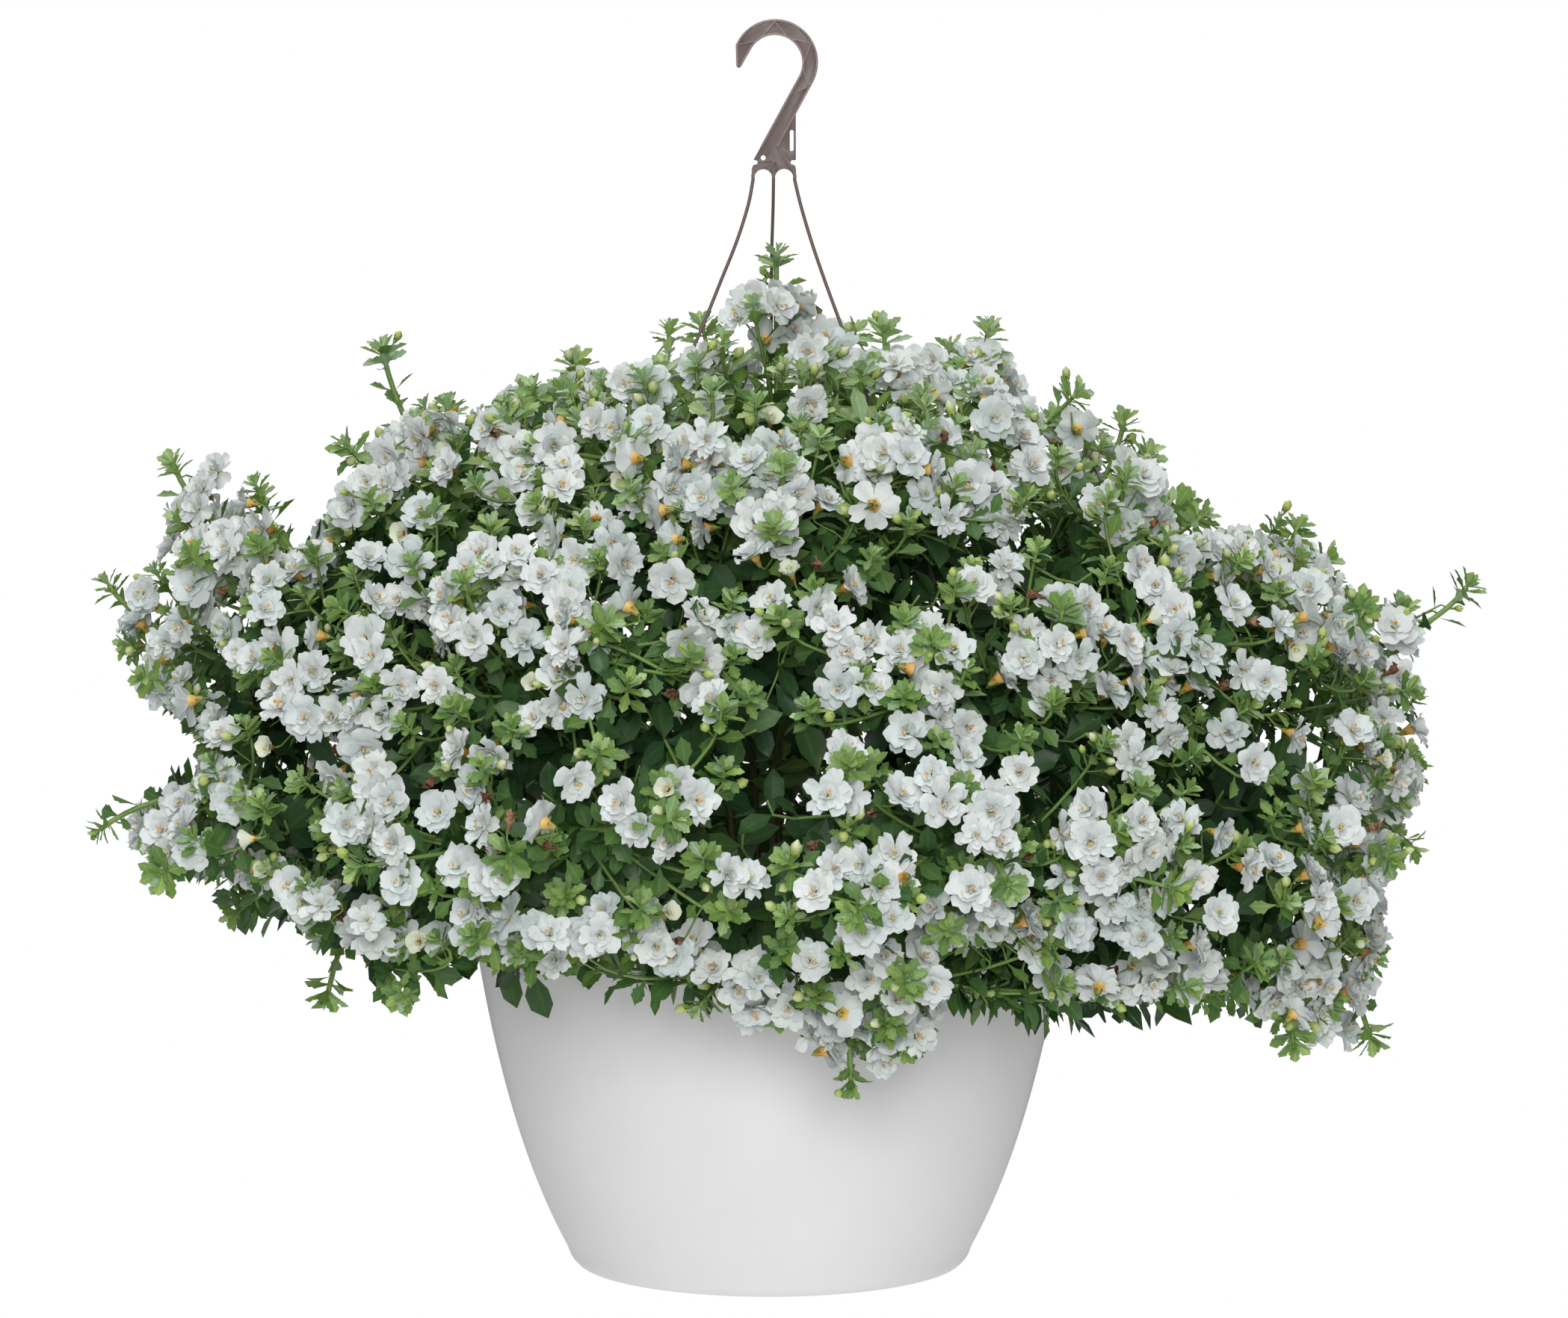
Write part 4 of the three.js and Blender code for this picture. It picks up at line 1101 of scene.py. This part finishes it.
def inside_outline(points, room):
    """Points moved up, down or sideways to where the outline seen from the front holds them."""
    x, z = seen(points)
    top, bottom = (np.interp(x, *np.array(edge, float).T) for edge in (TOP_EDGE, BOTTOM_EDGE))
    heights, left, right = np.array(SIDE_EDGES, float).T
    points = points.copy()
    points[:, 2] += np.maximum(bottom + room - z, 0) + np.minimum(top - room - z, 0)
    points[:, 0] += np.maximum(np.interp(z, heights, left) + room - x, 0)
    points[:, 0] += np.minimum(np.interp(z, heights, right) - room - x, 0)
    return points


def from_axis(points):
    return np.hypot(points[:, 0], points[:, 1])


def off_pot(points, room):
    """Points pushed out of the pot's wall, where they come near it."""
    reach = from_axis(points)
    wall = pot_radius(np.minimum(points[:, 2], POT_HEIGHT)) + LIP_WIDTH + room
    near_wall = (points[:, 2] < POT_HEIGHT + room) & (reach < wall) & (reach > 1)
    scale = np.where(near_wall, wall / np.maximum(reach, 1), 1)
    return points * np.stack([scale, scale, np.ones_like(scale)], 1)


class Limb:
    """A stem, side shoot, sprig or inner sprig: its kind, its shoot's number and its path."""

    def __init__(self, kind, shoot, points):
        self.kind = kind
        self.shoot = shoot
        self.path = Path(points)
        self.tip = self.path.points[-1]
        self.radius = LIMBS[kind]["radius"]

    def ways(self, distance, turn):
        """The direction along the limb at a distance, and one square to it, turned round it."""
        along = self.path.along(distance)
        across = square_to(np.array((0.31, 0.17, 0.93) if abs(along[2]) < 0.9 else (1.0, 0.2, 0.1)), along)
        return along, across * math.cos(turn) + np.cross(along, across) * math.sin(turn)

    def shape(self):
        """Its own tube, thinner towards its tip and older towards its foot."""
        sides = LIMBS[self.kind]["sides"]
        taper = np.linspace(1, STEM_TAPER, len(self.path.points)) * self.radius
        stem = tube(self.path.points, taper, sides, skin=STEM_SKIN)
        age = np.clip((self.path.length - self.path.run) / OLD_STEM, 0, 1)
        stem.tint[:, 0] = np.append(np.repeat(age, sides), age[-1])
        return stem


def stem_route(tip):
    """Straight up out of the mix, over the crest and on to the tip."""
    reach = math.hypot(tip[0], tip[1])
    lean = reach / math.hypot(reach, max(tip[2] - SOIL_MIDDLE, 0))
    ring = FEET["inner"] + (FEET["outer"] - FEET["inner"]) * lean ** 3 * min(reach / FEET["far"], 1)
    out = np.array([tip[0], tip[1], 0]) / reach
    foot = out * ring + UP * (soil_height(ring) + GAP)
    rise = foot + UP * (max(tip[2], CREST) - foot[2]) * STEM_RISE
    pull = STEM_HIGH if tip[2] > CREST else STEM_LOW
    over = foot + out * (reach - ring) * pull["out"]
    over[2] = tip[2] + (CREST - tip[2]) * pull["up"] + pull["lift"]
    return cubic(foot, rise, over, np.array(tip, float), LIMBS["stem"]["points"])


def side_route(stem, fork, tip):
    """Out of the stem along its own way, then over to the tip."""
    at, along = stem.at(stem.length * fork), stem.along(stem.length * fork)
    gap = np.array(tip) - at
    pull = at + along * np.linalg.norm(gap) * SIDE_SPRING + gap * SIDE_OVER
    return quadratic(at, pull, np.array(tip, float), LIMBS["side"]["points"])


def main_limbs():
    """The stem and the side shoots of every shoot."""
    limbs = []
    for number, (tip, *side_tips) in enumerate(SHOOTS):
        stem = Limb("stem", number, stem_route(tip))
        limbs.append(stem)
        for fork, side_tip in zip(FORKS, side_tips):
            limbs.append(Limb("side", number, side_route(stem.path, fork, side_tip)))
    return limbs


def sprig_targets(setting):
    """Where the sprigs end: even places over the mound, closer in front, down to its ragged lower edge."""
    directions = unit(random.normal(0, 1, (setting["tries"], 3)))
    reach = mound_reach(directions) + random.uniform(*setting["out"], setting["tries"])
    targets = inside_outline(MOUND_MIDDLE + directions * reach[:, None], TIP_ROOM)
    compass = np.degrees(np.arctan2(targets[:, 1], targets[:, 0])) % 360
    low = np.interp(compass, *np.array(LOW_EDGE, float).T)
    free = targets[:, 2] > low + random.uniform(0, RAGGED, len(targets))
    free &= np.linalg.norm(targets[:, None] - TIPS[None], axis=-1).min(axis=1) > setting["from_tips"]
    wall = pot_radius(targets[:, 2]) + LIP_WIDTH
    free &= (from_axis(targets) > wall + SPRIG_ROOM) | (targets[:, 2] > POT_HEIGHT)
    apart = np.interp(targets[:, 1], FRONT_TO_BACK, setting["apart"])
    kept = []
    for i in range(len(targets)):
        if free[i]:
            kept.append(targets[i])
            free &= np.linalg.norm(targets - targets[i], axis=1) > apart[i]
    return np.array(kept)


def sprig_limbs(limbs, kind):
    """A sprig from the best placed stem to each target."""
    starts, ways, owners = [], [], []
    for limb in limbs:
        first = limb.path.length * SPRIG_STARTS["stem" if limb.kind == "stem" else "other"]
        last = limb.path.length - SPRIG_STARTS["to_tip"]
        for distance in np.arange(first, last, SPRIG_STARTS["apart"]):
            starts.append(limb.path.at(distance))
            ways.append(limb.path.along(distance))
            owners.append(limb.shoot)
    starts, ways = np.array(starts), np.array(ways)
    at_pot = starts[:, 2] <= POT_HEIGHT + SPRIG_STARTS["above_pot"]
    at_pot &= from_axis(starts) <= pot_radius(starts[:, 2]) + LIP_WIDTH + SPRIG_STARTS["beside_pot"]
    sprigs = []
    for target in sprig_targets(SPRIGS[kind]):
        gap = target - starts
        length = np.linalg.norm(gap, axis=1)
        bend = 1 - np.sum(gap * ways, axis=1) / length
        depth = np.sum(gap * mound_out(target), axis=1)
        cost = np.abs(length - SPRIGS[kind]["length"]) + SPRIG_COST["bend"] * bend
        cost += np.where(depth < SPRIG_DEPTH, SPRIG_COST["shallow"], 0)
        cost += np.where(at_pot, SPRIG_COST["at_pot"], 0) + random.uniform(0, SPRIG_COST["luck"], len(cost))
        best = int(np.argmin(cost))
        out = unit(mound_out(target) + UP * SPRIG_RISE + random.normal(0, 0.25, 3))
        spring = length[best] * SPRING
        points = cubic(starts[best], starts[best] + ways[best] * spring, target - out * spring, target,
                       LIMBS[kind]["points"])
        points = np.vstack([points[:1], off_pot(points[1:], SPRIG_ROOM)])
        sprigs.append(Limb(kind, owners[best], points))
    return sprigs


class Crop:
    """Places, directions, sizes and tints of one kind of shape, kept by shoot."""

    def __init__(self):
        self.rows = []

    def add(self, shoot, place, x_axis, z_axis, size, tint):
        self.rows.append((shoot, place, x_axis, z_axis, size, tint))

    def of(self, shoot, templates):
        """The shoot's copies, shared among the templates in turn."""
        rows = [r for r in self.rows if r[0] == shoot]
        shapes = []
        for i, template in enumerate(templates):
            some = rows[i::len(templates)]
            if some:
                _, places, x_axes, z_axes, sizes, tints = zip(*some)
                turns = frames(np.array(x_axes), np.array(z_axes))
                shapes.append(stamped(template, np.array(places), turns, np.array(sizes), np.array(tints)))
        return shapes


def grow_pairs(crops, limb, turn, paler):
    """Opposite pairs of leaves, smaller and paler towards the tip. Returns the last pair's turn."""
    length = limb.path.length
    inner = limb.kind == "inner"
    distance = LIMBS[limb.kind]["bare"]
    while distance < length - 3:
        youth = 0 if inner else math.exp((distance - length) / YOUNG_END)
        crop = crops["plain" if youth < PLAIN_BELOW else "large"]
        place = limb.path.at(distance)
        along, way = limb.ways(distance, turn)
        for side in (-1, 1):
            if random.uniform() < LEAF_MISSING:
                continue
            lean = math.radians(LEAF_LEAN - 10 * youth + random.normal(0, 9))
            out = unit(way * side * math.sin(lean) + along * math.cos(lean) + random.normal(0, 0.1, 3))
            face = along * 0.5 + mound_out(place) * 0.9 + UP * 0.3 + random.normal(0, 0.35, 3)
            size = random.uniform(*LEAF_LENGTH) * (1 - youth) + YOUNG_LEAF * youth
            size *= INNER_LEAF if inner else 1
            # The age tint also carries the painted light from above: high leaves are given a younger, paler
            # age.
            age = LEAF_AGE - LEAF_YOUNGER * youth + INNER_OLDER * inner - 2 * paler + random.normal(0, 0.13)
            tint = (np.clip(age, 0, 1), 0, random.uniform())
            crop.add(limb.shoot, place + way * side * limb.radius * 0.5, out, face, size, tint)
        spacing = LEAF_SPACING[1] + (LEAF_SPACING[0] - LEAF_SPACING[1]) * youth
        distance += spacing * random.uniform(0.85, 1.15)
        turn += math.pi / 2 + random.normal(0, 0.15)
    return turn


def grow_rosette(crops, limb, turn, paler):
    """Whorls of small pale leaves on a limb's tip."""
    full = random.uniform(*ROSETTE_SIZE) * (1 if limb.kind == "sprig" else MAIN_ROSETTE)
    for size, lean, rise, count, older in ROSETTE_WHORLS:
        turn += math.pi / 4
        for k in range(count):
            along, way = limb.ways(limb.path.length, turn + k * math.pi / 2)
            tilt = math.radians(lean + random.normal(0, 8))
            out = unit(way * math.sin(tilt) + along * math.cos(tilt))
            # The painted light from above also lowers a rosette leaf's age, making it paler.
            age = np.clip(ROSETTE_AGE - paler + random.normal(0, 0.09) + older, 0, 1)
            face = along + random.normal(0, 0.3, 3)
            crops["small"].add(limb.shoot, limb.tip + along * rise, out, face, size * full,
                               (age, 0, random.uniform()))


def grow_leaves(crops, limbs):
    """Pairs of leaves along every limb, and a rosette on each that reaches the mound's surface."""
    for limb in limbs:
        # Painted light: leaves and rosettes high on the mound are made paler, as if lit from above.
        paler = HIGH_PAINTED_LIGHT[2] * np.clip((limb.tip[2] - HIGH_PAINTED_LIGHT[0]) / HIGH_PAINTED_LIGHT[1], 0, 1)
        turn = grow_pairs(crops, limb, random.uniform(0, math.pi), paler)
        if limb.kind != "inner":
            grow_rosette(crops, limb, turn, paler)


def flower_richness(point):
    """A slow wave over the mound that gathers flowers in some places, and more of them in front."""
    x, y, z = point * 0.024
    wave = math.sin(2.1 * x + 1.3) * math.sin(2.3 * y + 0.4) + math.sin(1.9 * z + 2.1 * x) * math.cos(1.7 * y)
    front = max(-mound_out(point)[1], 0)
    return (1 + 0.2 * wave) * (MORE_IN_FRONT[0] + MORE_IN_FRONT[1] * front)


def head_places(limbs):
    """Nodes near each tip that bear a flower, where its head first goes, its way and its shoot."""
    nodes, heads, ways, owners = [], [], [], []
    for limb in limbs:
        length = limb.path.length
        wanted = LIMBS[limb.kind]["flowers"] * flower_richness(limb.tip)
        if limb.kind == "sprig":
            wanted *= random.choice(TIP_SHARES)
        turn = random.uniform(0, 2 * math.pi)
        for _ in range(int(wanted + random.uniform())):
            distance = max(length - random.uniform(4, 28 if limb.kind == "stem" else 32), length * 0.3)
            place = limb.path.at(distance)
            along, way = limb.ways(distance, turn)
            turn += HEAD_TURN
            way = unit(way + mound_out(place) * 0.85 + UP * 0.2)
            nodes.append(place)
            heads.append(place + way * random.uniform(*PEDICEL))
            ways.append(way)
            owners.append(limb.shoot)
    return np.array(nodes), np.array(heads), np.array(ways), np.array(owners)


def settled(heads):
    """Heads eased apart, up to the mound's surface, and away from the pot and the hanger's legs."""
    legs = np.vstack([catmull_rom(route, 12) for route in LEG_ROUTES.values()])
    deep, high = SETTLE["deep"], SETTLE["high"]
    rows = np.arange(len(heads))
    for _ in range(SETTLE["rounds"]):
        gap = heads[:, None] - heads[None]
        far = np.linalg.norm(gap, axis=-1) + np.eye(len(heads)) * 1e3
        push = np.clip(HEAD_ROOM - far, 0, None) / far * SETTLE["push"]
        heads = heads + np.sum(gap * push[..., None], axis=1)
        spot = heads - MOUND_MIDDLE
        reach = np.linalg.norm(spot, axis=1)
        surface = mound_reach(unit(spot)) - HEADS_UNDER
        outward = np.clip(surface - reach - deep[0], 0, deep[1])
        outward -= np.clip(reach - surface - high[0], 0, high[1])
        heads = heads + unit(spot) * outward[:, None] * SETTLE["pull"]
        from_leg = heads[:, None] - legs[None]
        near_one = np.linalg.norm(from_leg, axis=-1)
        closest = np.argmin(near_one, axis=1)
        away = unit(from_leg[rows, closest])
        heads = heads + away * np.clip(HEAD_CLEAR - near_one[rows, closest], 0, SETTLE["at_leg"])[:, None]
        heads = off_pot(inside_outline(heads, HEAD_EDGE_ROOM), HEAD_CLEAR)
    return heads


def nearest_nodes(heads, nodes, owners, limbs):
    """A node nearer by on the same shoot for each head whose stalk the settling has stretched."""
    nodes = nodes.copy()
    for number in range(len(SHOOTS)):
        points = np.vstack([limb.path.points[2:] for limb in limbs if limb.shoot == number])
        for i in np.flatnonzero(owners == number):
            if np.linalg.norm(heads[i] - nodes[i]) > LONG_STALK:
                far = np.abs(np.linalg.norm(points - heads[i], axis=1) - PEDICEL[0])
                nodes[i] = points[np.argmin(far)]
    return nodes


def stalk(route):
    """A thin green stalk of a flower or a bud."""
    return tube(route, np.full(len(route), PEDICEL_RADIUS), 3, (0.1, 0, 0), GREEN_SKIN)


def grow_flowers(crops, stalks, limbs):
    """A head on its stalk at each place, most of them open and turned to the front."""
    nodes, heads, ways, owners = head_places(limbs)
    heads = settled(heads)
    nodes = nearest_nodes(heads, nodes, owners, limbs)
    for node, head, way, owner in zip(nodes, heads, ways, owners):
        away = random.uniform() < AWAY_SHARE
        front = 0.8 if away else -0.8 if head[1] < FRONT_TO_BACK[1] else 0.2
        level = unit(mound_out(head) * LEVEL + (0, front, 0) + random.normal(0, 0.3, 3) * LEVEL)
        facing = unit(level + way * 0.2 + UP * 0.2 + random.normal(0, 0.38, 3))
        luck = random.uniform()
        kind = "withered" if luck < WITHERED_SHARE else "opening"
        if luck >= WITHERED_SHARE + OPENING_SHARE:
            kind = "open"
        size = random.uniform(*HEAD_SIZE) * (1 if kind == "open" else SMALL_HEAD)
        across = square_to(random.normal(0, 1, 3), facing)
        crops[kind].add(owner, head, across, facing, size, (0, 0, random.uniform()))
        foot = head - facing * HEAD_DEPTH * size
        reach = np.linalg.norm(foot - node)
        route = cubic(node, node + way * reach * SPRING, foot - facing * reach * SPRING, foot, 5)
        stalks[owner].append(stalk(route))


def grow_buds(crops, stalks, limbs):
    """A few buds on short stalks near each tip."""
    for limb in limbs:
        for _ in range(random.poisson(BUDS_A_TIP)):
            distance = limb.path.length - random.uniform(1, 16)
            place = limb.path.at(distance)
            along, way = limb.ways(distance, random.uniform(0, 2 * math.pi))
            way = unit(way + along * 0.5 + mound_out(place) * 0.4)
            head = place + way * random.uniform(*BUD_STALK)
            size = random.uniform(*BUD_SIZE)
            across = square_to(random.normal(0, 1, 3), way)
            crops["bud"].add(limb.shoot, head, across, way, size, (0, 0, random.uniform()))
            stalks[limb.shoot].append(stalk(np.linspace(place, head - way * BUD_DEPTH * size, 3)))


def build_plant(materials):
    """Grows every limb, leaf and flower, and makes two pieces to each shoot."""
    limbs = main_limbs()
    outer = sprig_limbs(limbs, "sprig")
    inner = sprig_limbs(limbs + outer, "inner")
    limbs += outer
    crops = {kind: Crop() for kind in ("large", "small", "plain", "open", "opening", "withered", "bud")}
    stalks = [[] for _ in SHOOTS]
    grow_leaves(crops, limbs + inner)
    grow_flowers(crops, stalks, limbs)
    grow_buds(crops, stalks, limbs)
    templates = {
        "large": leaves(LEAF_EDGE, 8, (0.46, 0.62)),
        "plain": leaves(PLAIN_EDGE, 6, (0.5, 0.66)),
        "small": leaves(SMALL_EDGE, 5, (0.46, 0.62)),
        "open": [double_flower(slim) for slim in SLIMNESS],
        "opening": [opening_flower() for _ in range(3)],
        "withered": [withered_flower() for _ in range(3)],
        "bud": [bud(opening) for opening in (0.1, 0.4, 0.9)],
    }
    leafy, floral = ([materials[k] for k in kinds] for kinds in (LEAFY_SKINS, FLORAL_SKINS))
    for number in range(len(SHOOTS)):
        copies = {kind: crop.of(number, templates[kind]) for kind, crop in crops.items()}
        stems = [limb.shape() for limb in limbs + inner if limb.shoot == number]
        green = [*stems, *copies["large"], *copies["small"], *copies["plain"]]
        white = [*stalks[number], *copies["open"], *copies["opening"], *copies["withered"], *copies["bud"]]
        name = f"{number + 1:02d}"
        finished(make_object(f"foliage_{name}", together(green), leafy), "foliage", f"shoot_{name}")
        finished(make_object(f"flowers_{name}", together(white), floral), "petal", f"flower_truss_{name}")


# Stage

def make_camera():
    """Straight ahead of the front and a little above it."""
    data = bpy.data.cameras.new("camera")
    data.lens = LENS
    data.sensor_width = SENSOR
    camera = linked("camera", data)
    rise = math.radians(CAMERA_ELEVATION)
    away = np.array([0, -math.cos(rise), math.sin(rise)]) * CAMERA_DISTANCE
    camera.location = (np.array(CAMERA_TARGET) + away) * MM
    camera.rotation_euler = (math.pi / 2 - rise, 0, 0)
    bpy.context.scene.camera = camera


def make_light(name, setting):
    """An area light or a sun that shines on what the camera looks at."""
    data = bpy.data.lights.new(name, setting["kind"])
    data.energy = setting["power"]
    if setting["kind"] == "AREA":
        data.size = setting["size"] * MM
    else:
        data.angle = math.radians(setting["angle"])
    light = linked(name, data)
    place = np.array(setting["place"], float)
    light.location = place * MM
    x, y, z = np.array(CAMERA_TARGET) - place
    light.rotation_euler = (math.atan2(math.hypot(x, y), -z), 0, math.atan2(y, x) - math.pi / 2)


def make_sky():
    """White behind the object, and a dimmer even light on it."""
    world = bpy.data.worlds.new("sky")
    bpy.context.scene.world = world
    world.use_nodes = True
    nodes, links = world.node_tree.nodes, world.node_tree.links
    background = nodes["Background"]
    background.inputs["Color"].default_value = (1, 1, 1, 1)
    strength = nodes.new("ShaderNodeMapRange")
    strength.inputs["To Min"].default_value = SKY_LIGHT
    strength.inputs["To Max"].default_value = BACKDROP
    rays = nodes.new("ShaderNodeLightPath")
    links.new(rays.outputs["Is Camera Ray"], strength.inputs["Value"])
    links.new(strength.outputs["Result"], background.inputs["Strength"])


def make_stage(material):
    make_sky()
    for name, setting in LIGHTS.items():
        make_light(name, setting)
    corners = [(x, y, -FLOOR_DROP) for y in (-FLOOR_HALF, FLOOR_HALF) for x in (-FLOOR_HALF, FLOOR_HALF)]
    make_object("floor", Shape(corners, grid_faces(2, 2)), [material])
    bpy.context.scene.view_settings.view_transform = "Standard"


make_camera()
make_stage(floor_material())
make_pot(pot_material())
make_soil(soil_material())
make_hanger(hanger_material("hanger_leg_plastic", False), hanger_material("hanger_hook_plastic", True))
build_plant({
    "leaf": leaf_material(), "stem": stem_material(), "petal": petal_material(), "throat": throat_material(),
    "stamen": stamen_material(), "bud": bud_material(), "withered": withered_material(),
})
